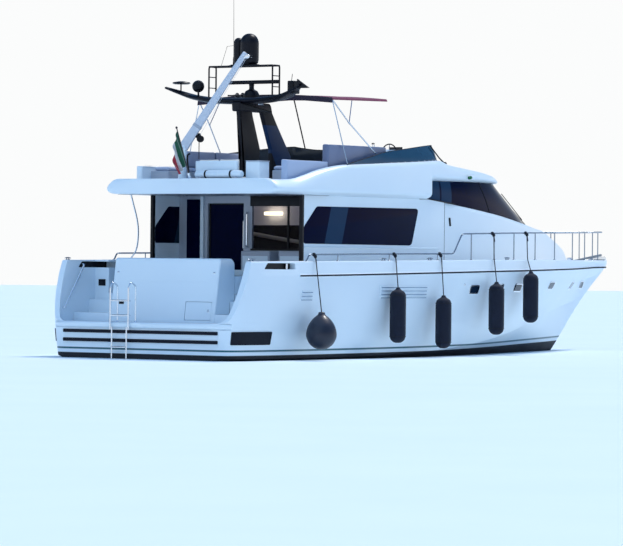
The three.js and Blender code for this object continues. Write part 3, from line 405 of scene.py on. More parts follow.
# Hull: one glass-fibre moulding, white above a black boot top and a teal stripe, with a soft
# knuckle, flared bow, stepped passages behind thin stern wings and a deck between bulwarks.
# Columns: x, half-beam and height of the sheer, of the rubbing strake, of the knuckle and of
# the chine, and the keel's height.
LINES = np.array([
    [0.12, 1.960, 1.930, 1.970, 1.640, 1.975, 1.050, 1.900, 0.040, -0.620],
    [0.16, 2.110, 1.930, 2.120, 1.640, 2.120, 1.050, 2.040, 0.040, -0.622],
    [0.24, 2.220, 1.930, 2.235, 1.641, 2.230, 1.051, 2.130, 0.040, -0.626],
    [0.40, 2.310, 1.930, 2.330, 1.643, 2.320, 1.053, 2.190, 0.040, -0.634],
    [1.10, 2.410, 1.935, 2.440, 1.650, 2.430, 1.062, 2.250, 0.040, -0.660],
    [2.50, 2.470, 1.950, 2.500, 1.668, 2.480, 1.095, 2.270, 0.042, -0.710],
    [4.50, 2.490, 1.975, 2.520, 1.700, 2.485, 1.135, 2.260, 0.060, -0.770],
    [6.70, 2.465, 2.000, 2.495, 1.738, 2.430, 1.180, 2.190, 0.110, -0.810],
    [9.00, 2.355, 2.025, 2.380, 1.778, 2.255, 1.232, 1.960, 0.250, -0.820],
    [11.00, 2.130, 2.038, 2.140, 1.808, 1.945, 1.290, 1.600, 0.470, -0.800],
    [13.00, 1.730, 2.046, 1.710, 1.838, 1.450, 1.370, 1.050, 0.760, -0.690],
    [14.40, 1.310, 2.050, 1.260, 1.858, 0.960, 1.440, 0.590, 0.930, -0.470],
    [15.16, 1.020, 2.052, 0.950, 1.870, 0.650, 1.490, 0.330, 1.010, -0.050],
    [15.75, 0.770, 2.054, 0.695, 1.878, 0.410, 1.540, 0.160, 1.080, 0.460],
    [16.32, 0.520, 2.056, 0.445, 1.886, 0.200, 1.610, 0.060, 1.170, 0.975],
    [17.05, 0.225, 2.058, 0.185, 1.894, 0.070, 1.700, 0.026, 1.560, 1.530],
    [17.50, 0.070, 2.060, 0.052, 1.900, 0.026, 1.880, 0.018, 1.862, 1.845],
    [17.63, 0.016, 2.060, 0.014, 1.990, 0.012, 1.985, 0.010, 1.980, 1.970],
])
SHEER_Y, SHEER_Z, RUB_Y, RUB_Z, KNUCKLE_Y, KNUCKLE_Z, CHINE_Y, CHINE_Z, KEEL_Z = range(1, 10)
BULWARK, SOLE, SIDE_DECK, FOREDECK = 0.11, 1.28, 1.60, 1.93
GAP = 0.0004  # between a piece and what it stands on
PLATFORM_LOW, PLATFORM_TOP = 0.60, 0.72
PLATFORM_FLOOR, ON_PLATFORM = PLATFORM_LOW - GAP, PLATFORM_TOP + GAP
LOCKER_HALF, COCKPIT_HALF, BULKHEAD, WALL = 1.31, 1.87, 3.77, 0.06
WING_HALF, WING_THICK = 2.22, 0.12
WELL_FRONT, WELL_HALF, SWELL = 11.6, 1.78, 0.04


def fair(table, x, column):
    """A smooth cubic through one column that doesn't overshoot: the slope at each row is the
    harmonic mean of the rises on its two sides."""
    xs, ys = table[:, 0], table[:, column]
    rise = np.diff(ys) / np.diff(xs)
    product, total = rise[:-1] * rise[1:], rise[:-1] + rise[1:]
    inner = np.where(product > 0, 2 * product / np.where(total == 0, 1, total), 0)
    slope = np.concatenate([rise[:1], inner, rise[-1:]])
    x = np.clip(x, xs[0], xs[-1])
    i = np.clip(np.searchsorted(xs, x) - 1, 0, len(xs) - 2)
    h = xs[i + 1] - xs[i]
    t = (x - xs[i]) / h
    return ((2 * t ** 3 - 3 * t ** 2 + 1) * ys[i] + (t ** 3 - 2 * t ** 2 + t) * h * slope[i]
            + (3 * t ** 2 - 2 * t ** 3) * ys[i + 1] + (t ** 3 - t ** 2) * h * slope[i + 1])


def lines_at(x, column):
    return fair(LINES, x, column)


def deck_at(x):
    return np.interp(x, [8.0, 10.5], [SIDE_DECK, FOREDECK])


def hull_side(x, z):
    """Half-beam of the hull at x and height z: a swelling run from chine to knuckle, then straight
    ones to the rub and the sheer."""
    x, z = np.broadcast_arrays(np.asarray(x, float), np.asarray(z, float))
    height = np.stack([lines_at(x, c) for c in (CHINE_Z, KNUCKLE_Z, RUB_Z, SHEER_Z)])
    beam = np.stack([lines_at(x, c) for c in (CHINE_Y, KNUCKLE_Y, RUB_Y, SHEER_Y)])
    half = beam[0]
    for k in range(3):
        share = np.clip((z - height[k]) / (height[k + 1] - height[k]), 0, 1)
        swell = SWELL * beam[0] * share * (1 - share) if k == 0 else 0
        half = np.where(z >= height[k], beam[k] + share * (beam[k + 1] - beam[k]) + swell, half)
    return half


def trough(stations, half, low, high):
    """The space of a trough: a rectangle as wide as half on either side, carried along stations."""
    corners = [(-half, low), (half, low), (half, high), (-half, high)]
    return loft(np.stack([np.stack(np.broadcast_arrays(stations, y, z), -1) for y, z in corners], 1))


def shell(half):
    """A skin from port half sections, points by stations, that start and end on the centreline."""
    return loft(np.concatenate([half, half[-2:0:-1] * (1, -1, 1)]).transpose(1, 0, 2))


def hull_sections(x):
    """Half sections from the keel up the port side and in to the centreline. The bottom and the
    topsides swell a little, and the sheer is rounded off by a quarter ellipse."""
    keel, chine, low = lines_at(x, KEEL_Z), lines_at(x, CHINE_Z), lines_at(x, CHINE_Y)
    knuckle_y, knuckle_z = lines_at(x, KNUCKLE_Y), lines_at(x, KNUCKLE_Z)
    sheer_y, sheer_z = lines_at(x, SHEER_Y), lines_at(x, SHEER_Z)
    t = np.linspace(0, 1, 9)[:, None]
    bottom = np.stack([low * (t + 0.1 * t * (1 - t)), keel + (chine - keel) * (t - 0.1 * t * (1 - t))], -1)
    swell = SWELL * low * t * (1 - t)
    topside = np.stack([low + (knuckle_y - low) * t + swell, chine + (knuckle_z - chine) * t], -1)
    upper = np.stack([knuckle_y + (lines_at(x, RUB_Y) - knuckle_y) * t,
                      knuckle_z + (lines_at(x, RUB_Z) - knuckle_z) * t], -1)
    s = np.linspace(0, np.pi / 2, 12)[:, None]
    round_y = np.minimum(0.03, sheer_y * 0.4)
    round_z = np.minimum(0.03, (sheer_z - lines_at(x, RUB_Z)) * 0.3)
    cap = np.stack([sheer_y - round_y * (1 - np.cos(s)), sheer_z - round_z * (1 - np.sin(s))], -1)
    middle = np.stack([np.zeros_like(x), sheer_z], -1)[None]
    half = np.concatenate([bottom, topside[1:], upper[1:], cap, middle])
    return np.concatenate([np.broadcast_to(x, half.shape[:2])[..., None], half], -1)


def passage_plan(front):
    """The passages in plan as far as front: the hull's own side moved in, up to WING_HALF."""
    x = np.linspace(0.12, front, 24)
    side = np.stack([x, np.minimum(WING_HALF, hull_side(x, 1.0) - WING_THICK)], -1)
    half = np.concatenate([[(-0.2, side[0, 1])], side])
    return np.concatenate([half, half[::-1] * (1, -1)])


def stern_cuts():
    """The wings' sloping ends, the platform's slot, the cockpit, and a step of each passage from
    every row."""
    wings = [(-0.2, PLATFORM_FLOOR), (0.8, PLATFORM_FLOOR), (0.8, ON_PLATFORM), (0.13, ON_PLATFORM),
             (0.19, 0.8), (0.25, 0.94), (0.59, 1.87), (0.62, 1.93), (0.68, 2.1), (-0.2, 2.1)]
    steps = [(0.82, PLATFORM_FLOOR), (1.31, 0.885), (1.5, 1.143)]
    return [
        plate(wings, "xz", -2.7, 2.7),
        slab(-0.2, 1.5, -LOCKER_HALF - 0.01, LOCKER_HALF + 0.01, PLATFORM_FLOOR, 2.2),
        slab(-0.2, BULKHEAD + WALL + 0.02, -COCKPIT_HALF, COCKPIT_HALF, SOLE, 2.2, corner=0.04),
        *[plate(passage_plan(front), "xy", low, 2.2) for front, low in steps],
    ]


def gelcoat(name, shade, deep):
    """Sprayed gelcoat: slow shifts of shade, wipe marks in the gloss, faint orange peel."""
    return coated(name, shade, deep, (0.7, 4), (0.24, 0.16, 5, 5, (1, 1, 3)), (0.0008, 0.12, 9, 2),
                  Coat_Weight=0.25, Coat_Roughness=0.24, IOR=1.45)


WHITE, WHITE_DEEP = (228, 242, 250), (219, 235, 247)
white = gelcoat("white_gelcoat", WHITE, WHITE_DEEP)


def hull_gelcoat():
    """White gelcoat with antifouling paint below the boot top, which climbs towards the bow, a teal
    stripe over it, and pale nonskid on what faces up between the bulwarks."""
    finish = gelcoat("hull_gelcoat", WHITE, WHITE_DEEP)
    x, z = finish.axis(0), finish.axis(2)
    height = z - x * x * 0.0005
    paint = 1 - height.past(0.105, 0.004)
    stripe = height.past(0.175, 0.003) * (1 - height.past(0.212, 0.003))
    scuffed = finish.noise(3, 6, (0.4, 1, 1.6))
    deck = finish.facing(2).past(0.97, 0.02) * z.past(0.85, 0.02) * (1 - z.past(1.955, 0.01))
    body = finish.blend(finish.noise(0.7, 4), tint(*WHITE), tint(*WHITE_DEEP))
    body = finish.blend(deck, body, tint(222, 226, 229))
    body = finish.blend(stripe, body, tint(38, 92, 104))
    finish.feed(Base_Color=finish.blend(paint, body,
                                        finish.blend(scuffed, tint(12, 15, 22), tint(26, 30, 40))))
    finish.feed(Roughness=0.26 + finish.noise(5, 5, (1, 1, 3)) * 0.16 + paint * 0.3 + deck * 0.35)
    finish.feed(Coat_Weight=0.25 - paint * 0.25 - deck * 0.23)
    grit = finish.node("ShaderNodeTexVoronoi", None, Vector=finish.place(), Scale=150.0)
    finish.bump(finish.noise(9, 2) * 0.2 + grit * deck, 0.0012, 0.35)
    return finish


hull_white = hull_gelcoat()
hull_x = np.concatenate([np.linspace(0.12, 0.4, 23), np.linspace(0.43, 1.1, 12), np.linspace(1.2, 15, 100),
                         np.linspace(15.1, 17.5, 40), np.linspace(17.52, 17.63, 6)])
FAIRLEAD = [(0.955, 1.785), (1.91, 1.785), (1.91, 1.905), (1.07, 1.905)]
well_x = np.linspace(2.85, 16.9, 60)
hull_body = carved([shell(hull_sections(hull_x))], [
    trough(well_x, lines_at(well_x, SHEER_Y) - BULWARK, deck_at(well_x), 2.6),
    *stern_cuts(),
    *both(plate(arcs(FAIRLEAD, 0.03, True), "xz", 1.86, 2.7)),
    plate([(3.84, -WELL_HALF), (9.0, -WELL_HALF), (WELL_FRONT, -1.4), (WELL_FRONT, 1.4), (9.0, WELL_HALF),
           (3.84, WELL_HALF)], "xy", SOLE - 0.0604, 2.6),
    slab(4.0, 6.4, -1.23, 1.23, -0.25, 1.4),
])
RUDDER_STOCK, SHAFT_Y = (0.76, 0.62), 0.62
gland = turned([(0, -0.56), (0.05, -0.56), (0.06, -0.55), (0.06, -0.30), (0, -0.30)], (*RUDDER_STOCK, 0))


def on_side(outline, low, high, edge=0.0, hand=-1, draws=0):
    """A flat outline in x and z laid on the hull's side and given thickness: y = side(x, z) + depth.
    Where the side curves much, draws more rings lead in to the middle, so that the face bends with it."""
    outline = np.asarray(outline, float)
    if draws:
        closed = np.concatenate([outline, outline[:1]])
        reach = np.concatenate([[0], np.cumsum(np.linalg.norm(np.diff(closed, axis=0), axis=1))])
        at = np.union1d(reach, np.arange(0, reach[-1], 0.04))[:-1]
        outline = np.stack([np.interp(at, reach, closed[:, 0]), np.interp(at, reach, closed[:, 1])], -1)
    levels = [(outline, low), (outline, high)]
    if edge:
        angle = np.linspace(0, np.pi / 2, 5)
        levels[1:] = [(inset(outline, edge * (1 - math.cos(a))), high - edge * (1 - math.sin(a)))
                      for a in angle]
    centre = (outline.min(0) + outline.max(0)) / 2
    levels += [(centre + (levels[-1][0] - centre) * share, high)
               for share in np.linspace(1, 0.02, draws + 1)[1:]]
    return loft([np.stack([line[:, 0], hand * (hull_side(*line.T) + height), line[:, 1]], -1)
                 for line, height in levels])


def box_outline(x0, x1, z0, z1, corner, slant=0.0, steps=5):
    """A rectangle with rounded corners, its upper edge shifted along by slant."""
    return arcs([(x0, z0), (x1, z0), (x1 + slant, z1), (x0 + slant, z1)], corner, True, steps)


quarter = [on_side(box_outline(0.22, 0.83, 0.57, 0.75, 0.02), -0.04, 0.003, 0.003, hand, 12)
           for hand in (-1, 1)]
piece("hull_moulding", {hull_white: [hull_body, *both(gland), *quarter]}, replaces=["hull"], crease=7)

# Rubbing strake: a black rubber bead in a white moulding, bonded along the topsides from the
# quarters to the stem.
rubber = coated("black_rubber", (8, 12, 26), (22, 28, 42), (9, 5), (0.5, 0.3, 40, 3), (0.0008, 0.4, 160, 2),
                Specular_IOR_Level=0.25)
strake_x = np.linspace(2.02, 17.5, 120)
strake = np.stack([strake_x, hull_side(strake_x, lines_at(strake_x, RUB_Z)), lines_at(strake_x, RUB_Z)], -1)
piece("rubbing_strake", {
    white: both(tube(strake - (0, 0.012, 0), 0.034, 14)),
    rubber: both(tube(strake + (0, 0.014, 0), 0.0175, 10)),
})

# Fenderings of the stern: two rubber strips across the flat stern, and a thick rubber pad
# let into each rounded quarter.
STRIPS, QUARTER_PAD = [(0.326, 0.393), (0.500, 0.566)], (0.215, 1.27, 0.312, 0.567)
piece("stern_rubbers", {rubber: [
    *[plate(arcs([(-1.93, low), (1.9, low), (1.9, high), (-1.93, high)], 0.02, True), "yz",
            0.092, 0.121, 0.008)
      for low, high in STRIPS],
    *[on_side(box_outline(*QUARTER_PAD, 0.02), -0.02, 0.022, 0.008, hand, 12) for hand in (-1, 1)],
]})


# Swim platform: one thick moulded plate, bull-nosed aft and flush with the quarters, with
# nonskid panels let into its top.
def platform_outline():
    """Half an outline in plan: straight across the stern, then round with the hull's own side."""
    x = np.array([0.14, 0.2, 0.27, 0.34, 0.42, 0.52, 0.64, 0.795])
    side = np.stack([x, hull_side(x, 0.66) + np.interp(x, [0.2, 0.34], [0.004, -0.05])], -1)
    return np.concatenate([[(0.062, 0), (0.062, 1.0), (0.064, 1.6), (0.075, 1.83), (0.098, 1.93)], side])


nonskid = gelcoat("nonskid_panels", (214, 220, 225), (202, 209, 216))
nonskid.feed(Roughness=0.6 + nonskid.noise(8, 3) * 0.2, Coat_Weight=0.0)
tread = nonskid.node("ShaderNodeTexVoronoi", {"distance": "CHEBYCHEV"}, Vector=nonskid.place(), Scale=70.0)
nonskid.bump(tread, 0.0025, 0.9)
half_platform = platform_outline()
platform_plan = np.concatenate([half_platform, half_platform[:0:-1] * (1, -1)])
piece("swim_platform_moulding", {
    white: [plate(platform_plan, "xy", PLATFORM_LOW, PLATFORM_TOP, 0.045, 6)],
    nonskid: [slab(0.13, 0.70, y, y + 0.86, PLATFORM_TOP - 0.002, PLATFORM_TOP + 0.002, corner=0.04)
              for y in (-1.82, -0.9, 0.02, 0.94)],
}, replaces=["swim_platform"])

# Stern locker: a moulding between the two passages whose aft face leans forward, with a
# grooved seam under its bare name board and a recess low on its starboard side.
LEAN = math.atan2(0.205, 1.365)
LEAN_TURN = np.array([[math.cos(LEAN), 0, math.sin(LEAN)], [0, 1, 0], [-math.sin(LEAN), 0, math.cos(LEAN)]])
ON_TRANSOM = (0.8, 0, PLATFORM_LOW)
SEAM_LINE = [(-0.02, 0.93), (0.004, 0.93), (0.004, 0.936), (-0.02, 0.936)]


def leant(skin):
    """A skin given square to the locker's aft face, laid on that face."""
    return moved(skin, LEAN_TURN, ON_TRANSOM)


locker_side = arcs([(0.8, 0.6), (1.49, 0.6), (1.49, 1.9), (1.4, 1.985), (1.04, 1.985), (1.005, 1.965)],
                   0.05, True)
locker_shell = carved([plate(locker_side, "xz", -LOCKER_HALF, LOCKER_HALF, 0.035)], [
    leant(slab(-0.1, 0.43, -1.21, -0.56, 0.17, 0.54)),
    leant(plate(arcs(SEAM_LINE, 0.004, True), "xz", -1.2, 1.2)),
])
stainless = Finish("stainless_steel", Metallic=1.0, Base_Color=tint(226, 230, 235))
stainless.feed(Roughness=0.13 + stainless.noise(18, 4, (1, 1, 6)) * 0.14)
black = coated("black_satin_paint", (8, 9, 16), (18, 19, 28), (2.5, 5), (0.32, 0.2, 12, 4),
               (0.0004, 0.4, 90, 2), Specular_IOR_Level=0.25)
piece("stern_locker_moulding", {
    white: [locker_shell],
    stainless: [leant(slab(-0.009, 0.004, y, y + 0.05, 1.1, 1.13, 0.006, 0.002)) for y in (-1.22, 1.17)],
    black: [leant(slab(-0.012, 0.004, 0.98, 1.1, 0.47, 0.54, 0.01, 0.003))],
}, replaces=["stern_locker"])

# Locker door: a flush panel with rounded corners, turning on a pin by its inner edge, and
# held shut by a stainless turn latch.
piece("locker_door_panel", {
    white: [leant(plate(arcs([(-1.203, 0.177), (-0.571, 0.177), (-0.571, 0.533), (-1.203, 0.533)],
                             0.03, True), "yz", 0.001, 0.03, 0.006))],
    stainless: [leant(turned([(0.008, 0.171), (0.008, 0.539)], (0.015, -0.59, 0), sides=16)),
                leant(turned([(0, -0.006), (0.026, -0.006), (0.03, 0.002), (0.03, 0.01)],
                             (0, -1.13, 0.36), (1, 0, 0)))],
}, body="locker_door", replaces=["locker_door"])

# Cockpit: bench and cushion against the stern locker, and two grey lockers with a plinth
# under the galley window.
cream = coated("cream_vinyl", (236, 233, 226), (222, 218, 210), (3, 4), (0.62, 0.2, 20, 3),
               (0.0006, 0.7, 220, 3), Sheen_Weight=0.2)
grey = gelcoat("grey_moulding", (176, 184, 196), (160, 168, 182))
piece("cockpit_bench_moulding", {white: [slab(1.5005, 2.06, -1.29, 1.29, SOLE + GAP, 1.64, 0.04, 0.02)]},
      replaces=["cockpit_bench"])
CUSHION_PRESSURE = 4.0


def swollen(block, cap, voxel):
    """A pad's skin: its block is remeshed, blown up by cloth pressure with gravity off, and no point
    moves further than cap."""
    thing = bpy.data.objects.new("pad", make_mesh("pad", [block]))
    bpy.context.collection.objects.link(thing)
    grid = thing.modifiers.new("grid", "REMESH")
    grid.mode, grid.voxel_size = "VOXEL", voxel
    thing.data = bpy.data.meshes.new_from_object(thing.evaluated_get(bpy.context.evaluated_depsgraph_get()))
    thing.modifiers.clear()
    points, faces = skin_of(thing.data)
    cloth = thing.modifiers.new("cloth", "CLOTH").settings
    cloth.use_pressure = True
    cloth.uniform_pressure_force = CUSHION_PRESSURE
    cloth.effector_weights.gravity = 0
    for number in range(1, 13):
        bpy.context.scene.frame_set(number)
    blown = skin_of(thing.evaluated_get(bpy.context.evaluated_depsgraph_get()).to_mesh())[0] - points
    reach = np.linalg.norm(blown, axis=1, keepdims=True)
    points = points + blown * np.minimum(1, cap / np.maximum(reach, 1e-9))
    bpy.context.scene.frame_set(1)
    bpy.data.meshes.remove(thing.data)
    return points, faces


def upholstered(name, pads, finish, replaces, cap=0.02, voxel=0.02):
    """Cushions as one padded piece, each blown up from its block (x0, x1, y0, y1, z0, z1)."""
    skins = [swollen(slab(*pad, corner=0.04, edge=0.02), cap, voxel) for pad in pads]
    thing = piece(name, {finish: skins}, replaces=replaces, crease=60)
    smooth = thing.modifiers.new("smooth", "SUBSURF")
    smooth.levels = smooth.render_levels = 1


upholstered("cockpit_cushions", [(1.545, 2.075, y, y + 0.835, 1.645, 1.745)
                                 for y in (-1.262, -0.4175, 0.427)],
            cream, ["cockpit_cushion"])
piece("cockpit_wet_bar", {
    grey: [slab(3.45, 3.7696, -1.53, 0.02, SOLE + GAP, 1.4, 0.02, 0.01),
           slab(3.45, 3.7696, -0.71, 0.02, SOLE + GAP, 2.15, 0.03, 0.015),
           slab(3.45, 3.7696, -1.53, -0.92, SOLE + GAP, 2.15, 0.03, 0.015)],
    white: [slab(3.443, 3.452, y0, y1, 1.46, 2.05, 0.012, 0.003)
            for y0, y1 in ((-0.66, -0.03), (-1.48, -0.97))],
    stainless: [turned([(0, 0), (0.02, 0), (0.02, 0.012), (0, 0.012)], (3.443, y, 1.9), (-1, 0, 0))
                for y in (-0.61, -1.43)],
}, replaces=["cockpit_lockers"])

# House sides: moulded walls that run aft past the bulkhead as wings, each with a long black
# window bonded flush outside, a black end frame and a ledge under the window.
HOUSE_HALF, OVERHANG, GLASS_TOP, FLY_DECK, HELM_SHELF = 1.90, 3.27, 3.66, 3.45, 3.72
ON_FLY_DECK = FLY_DECK + GAP
WINDOW = [(2.965, 2.30), (6.72, 2.30), (6.79, 2.34), (7.01, 3.02), (6.96, 3.065), (3.40, 3.05),
          (2.965, 2.64)]
HOUSE_SIDE = [(2.90, 1.6004), (7.9996, 1.6004), (7.9996, 3.222), (7.30, 3.289), (7.288, 3.2696),
              (2.90, 3.2696)]


def tinted(name, blinds):
    """Black glass, very smooth, hardly see-through, with paler bands painted on it between two slanting
    edges, for blinds behind it and the light they catch: x at z = 3 on either side, and the lean of both
    edges."""
    finish = Finish(name, IOR=1.5, Specular_IOR_Level=0.05, Specular_Tint=tint(96, 132, 224))
    x, z = finish.axis(0), finish.axis(2)
    shade = finish.blend(finish.noise(0.9, 2), tint(5, 11, 36), tint(10, 20, 50))
    # Paler bands painted on the glass: blinds behind it, and the light they catch.
    for start, end, lean in blinds:
        reach = x - (z - 3) * lean
        shade = finish.blend(reach.past(start, 0.02) * (1 - reach.past(end, 0.02)), shade, tint(40, 62, 86))
    finish.feed(Base_Color=shade, Roughness=0.03 + finish.noise(1.5, 3) * 0.05)
    finish.bump(finish.noise(0.8, 1), 0.004, 0.25)
    return finish


saloon_tint = tinted("saloon_glass_tint", [(3.88, 4.48, 0.3)])
house_wall = carved([plate(HOUSE_SIDE, "xz", HOUSE_HALF - WALL, HOUSE_HALF, 0.01)],
                    [plate(arcs(WINDOW, 0.05, True), "xz", 1.7, 2.0)])
pane = plate(arcs(WINDOW, 0.07, True), "xz", HOUSE_HALF - 0.01, HOUSE_HALF + 0.006, 0.003)
ledge = np.stack([np.linspace(2.98, 7.8, 30), np.full(30, HOUSE_HALF), np.linspace(2.235, 2.245, 30)], -1)
end_frame = slab(2.885, 2.965, HOUSE_HALF - WALL - 0.004, HOUSE_HALF + 0.008, 1.66, 3.268, 0.012)
for side, hand in HANDS:
    piece(f"house_wall_{side}", {white: [hand(house_wall), hand(tube(ledge, 0.02, 12))],
                                 black: [hand(end_frame)]},
          replaces=[f"house_side_{side}"])
    piece(f"saloon_window_{side}", {saloon_tint: [hand(pane)]}, replaces=[f"saloon_glass_{side}"])


# Aft bulkhead: grey wall with white door posts, a black header over the galley window, dark also
# as painted shadow under the overhang, a galley pane that shows the saloon's ceiling and lamp, and a
# sliding door of black glass.
def repaint(finish, *names):
    """Gives solids of the frame a finish."""
    for name in names:
        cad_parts[name].data.materials.clear()
        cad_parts[name].data.materials.append(finish.material)


clear = coated("galley_pane", (10, 12, 28), (16, 20, 38), (1.2,), (0.03, 0.04, 3), Alpha=0.22, IOR=1.5,
               Specular_IOR_Level=0.15)
door_tint = tinted("door_glass_tint", [])
repaint(grey, "aft_bulkhead")
piece("galley_pane", {
    clear: [slab(3.79, 3.806, -1.7596, -0.0204, 2.2004, 3.1196)],
    # The black header over the galley window also stands in for the shadow under the overhang.
    black: [slab(3.76, 3.769, -1.8, 0.02, 3.06, 3.262, 0.004, 0.003),
            slab(3.76, 3.80, -0.95, -0.91, 2.2, 3.1, 0.01),
            slab(3.762, 3.769, -1.79, 0.01, 2.16, 2.2, 0.003, 0.002)],
}, replaces=["galley_light"])
piece("port_light_pane", {
    door_tint: [slab(3.79, 3.806, 1.2104, 1.4796, 1.5004, 3.1196),
                slab(3.76, 3.769, 1.27, 1.64, 1.45, 3.2, 0.01, 0.003)],
    white: [slab(3.72, 3.769, 1.19, 1.27, 1.30, 3.262, 0.015, 0.006)],
}, replaces=["port_light"])
piece("saloon_door_leaf", {
    door_tint: [slab(3.844, 3.86, 0.17, 1.12, 1.34, 3.12)],
    black: [slab(3.837, 3.867, 0.15, 1.14, 1.3204, 1.40, 0.006),
            slab(3.837, 3.867, 0.15, 1.14, 3.09, 3.16, 0.006),
            slab(3.837, 3.867, 0.15, 0.215, 1.33, 3.15, 0.006),
            slab(3.837, 3.867, 1.075, 1.14, 1.33, 3.15, 0.006)],
    stainless: [tube([(3.838, 0.222, 2.19), (3.806, 0.222, 2.19), (3.806, 0.222, 2.78),
                      (3.838, 0.222, 2.78)],
                     0.011, bend=0.03)],
}, body="saloon_door", replaces=["saloon_door"])
piece("bulkhead_grab_rail", {stainless: [
    tube([(3.768, 0.07, 2.22), (3.715, 0.07, 2.24), (3.715, 0.07, 2.92), (3.768, 0.07, 2.94)],
         0.019, bend=0.03),
]})

# Saloon, as far as the galley pane shows it: teak sole, lined ceiling with a lit lamp, the ceiling
# glowing faintly as painted lamplight, the pale curved back of a settee, and a black sheet as painted
# shade deeper in.
teak = Finish("oiled_teak")
plank = teak.node("ShaderNodeTexWave", {"wave_type": "BANDS", "bands_direction": "Y"},
                  Vector=teak.place(), Scale=3.2)
grain = teak.noise(6, 8, (0.6, 12, 6))
seam = 1 - plank.past(0.02, 0.02)
teak.feed(Base_Color=teak.blend(seam, teak.blend(grain, tint(146, 100, 62), tint(186, 142, 98)),
                                tint(38, 32, 30)))
teak.feed(Roughness=0.5 + grain * 0.25)
teak.bump(grain * 0.3 - seam, 0.002, 0.6)
repaint(teak, "saloon_sole", "ensign_staff")
lamp_glow = Finish("lamp_glow", Emission_Strength=4.0, Roughness=0.4)
lamp_glow.feed(Emission_Color=lamp_glow.blend(lamp_glow.noise(4), tint(255, 238, 190), tint(255, 246, 214)))
# The lining glows faintly: painted lamplight on the ceiling, not a lamp.
lamplit_lining = coated("ceiling_lining_painted_glow", (214, 210, 222), (200, 196, 210), (2,), None, (0.0006, 1.0, 120, 2),
                Roughness=0.85, Emission_Strength=0.13)
lamplit_lining.feed(Emission_Color=lamplit_lining.blend(lamplit_lining.noise(1.5), tint(206, 208, 226), tint(186, 190, 214)))
settee_back = np.array([(5.0, 1.2, 2.55), (5.0, 0.935, 2.525), (5.0, 0.44, 2.448), (5.0, -0.29, 2.352),
                        (5.1, -0.9, 2.25)])
piece("saloon_fittings", {
    lamplit_lining: [slab(3.90, 7.20, -1.75, 1.75, 3.13, 3.16, 0.05, 0.01),
             slab(5.6, 5.64, -1.7, 1.7, 2.70, 3.128, 0.01)],
    lamp_glow: [slab(5.42, 5.54, 0.48, 0.90, 2.905, 2.975, 0.03, 0.015)],
    cream: [tube(arcs(settee_back, 0.4), 0.04, 16)],
    # A black sheet across the saloon stands in for the shade deeper inside.
    black: [slab(5.66, 5.70, -1.75, 1.75, 1.30, 3.128, 0.01)],
})


# Deckhouse forward of the saloon: one moulding with rounded shoulders, as wide as the house at
# first and narrowing to the foredeck. Columns: x, half width at the deck and at the top, top.
TRUNK = np.array([
    [8.00, 1.90, 1.89, 3.225], [9.00, 1.88, 1.85, 3.13], [10.0, 1.80, 1.74, 3.04],
    [10.5, 1.734, 1.664, 2.992], [11.0, 1.65, 1.57, 2.94], [12.0, 1.43, 1.34, 2.83],
    [13.0, 1.15, 1.04, 2.73], [13.45, 1.01, 0.89, 2.70], [14.2, 0.80, 0.68, 2.53],
    [15.0, 0.54, 0.42, 2.345], [15.26, 0.44, 0.33, 2.262], [15.40, 0.38, 0.29, 2.12],
    [15.44, 0.36, 0.28, 1.98],
])
HATCH = (13.6, 14.16, 0.27)


def trunk_at(x, column):
    return fair(TRUNK, x, column)


def trunk_sections(x):
    """Half sections: in along the deck, up the side, over a rounded shoulder, and in to the middle,
    where the top stands a few millimetres proud for camber."""
    low, high, top, deck = trunk_at(x, 1), trunk_at(x, 2), trunk_at(x, 3), deck_at(x) + GAP
    zero = np.zeros_like(x)
    shoulder = np.maximum(top - 0.035, deck + 0.02)
    controls = [(zero, deck), (low, deck), (high + 0.002, shoulder - 0.02), (high - 0.03, top),
                (zero, top + 0.004)]
    half = np.stack([np.stack([x, y, z], -1) for y, z in controls])
    return np.concatenate([half[:2], arcs(half[1:], 0.05, steps=6)[1:]])


lid_slope = np.array([HATCH[1] - HATCH[0], 0, trunk_at(HATCH[1], 3) - trunk_at(HATCH[0], 3)])
lid_slope /= np.linalg.norm(lid_slope)
lid_turn = np.stack([lid_slope, (0, 1, 0), np.cross(lid_slope, (0, 1, 0))], 1)
lid_at = np.array([HATCH[0], 0, trunk_at(HATCH[0], 3) - 0.002])
reach = (HATCH[1] - HATCH[0]) / lid_slope[0]


def lid_part(skin):
    return moved(skin, lid_turn, lid_at)


trunk_x = np.concatenate([np.linspace(8.0004, 13.45, 60), np.linspace(13.5, 15.2, 24),
                          np.linspace(15.22, 15.44, 12)])
TRUNK_WALL, TRUNK_OPEN = 0.075, 3.6
under_glass = np.array([7.9, 8.0, 9.0, 10.0, 10.5, 11.0, 11.6])
under_half = np.array([1.89, 1.89, 1.85, 1.74, 1.664, 1.57, 1.42]) - TRUNK_WALL
shelf = np.array([11.5, 12.0, 12.7, 13.15, 13.3])
shelf_half = np.array([1.40, 1.31, 1.0, 0.64, 0.42]) - TRUNK_WALL
trunk_body = carved([shell(trunk_sections(trunk_x))], [
    trough(under_glass, under_half, 1.4, TRUNK_OPEN),
    trough(shelf, shelf_half, 2.5, TRUNK_OPEN),
    slab(HATCH[0] + 0.03, HATCH[1] - 0.03, -HATCH[2] + 0.03, HATCH[2] - 0.03, 2.1, 2.9, 0.05),
    lid_part(slab(-0.05, reach + 0.010, -0.282, 0.282, -0.0045, 0.2, 0.05)),
])
vent_outline = box_outline(8.2, 8.27, 2.72, 2.9, 0.02, -0.03)
piece("deckhouse_moulding", {
    white: [trunk_body],
    black: both(plate(vent_outline, "xz", 1.868, 1.894, 0.004),
                tube([(7.999, 1.9005, 1.62), (7.999, 1.9005, 3.21)], 0.004, 6),
                tube([(7.06, 1.9, 3.272), (7.345, 1.9, 3.28), (8.0, 1.898, 3.22), (8.4, 1.89, 3.185)],
                     0.013, 8)),
}, replaces=["trunk"], crease=24)

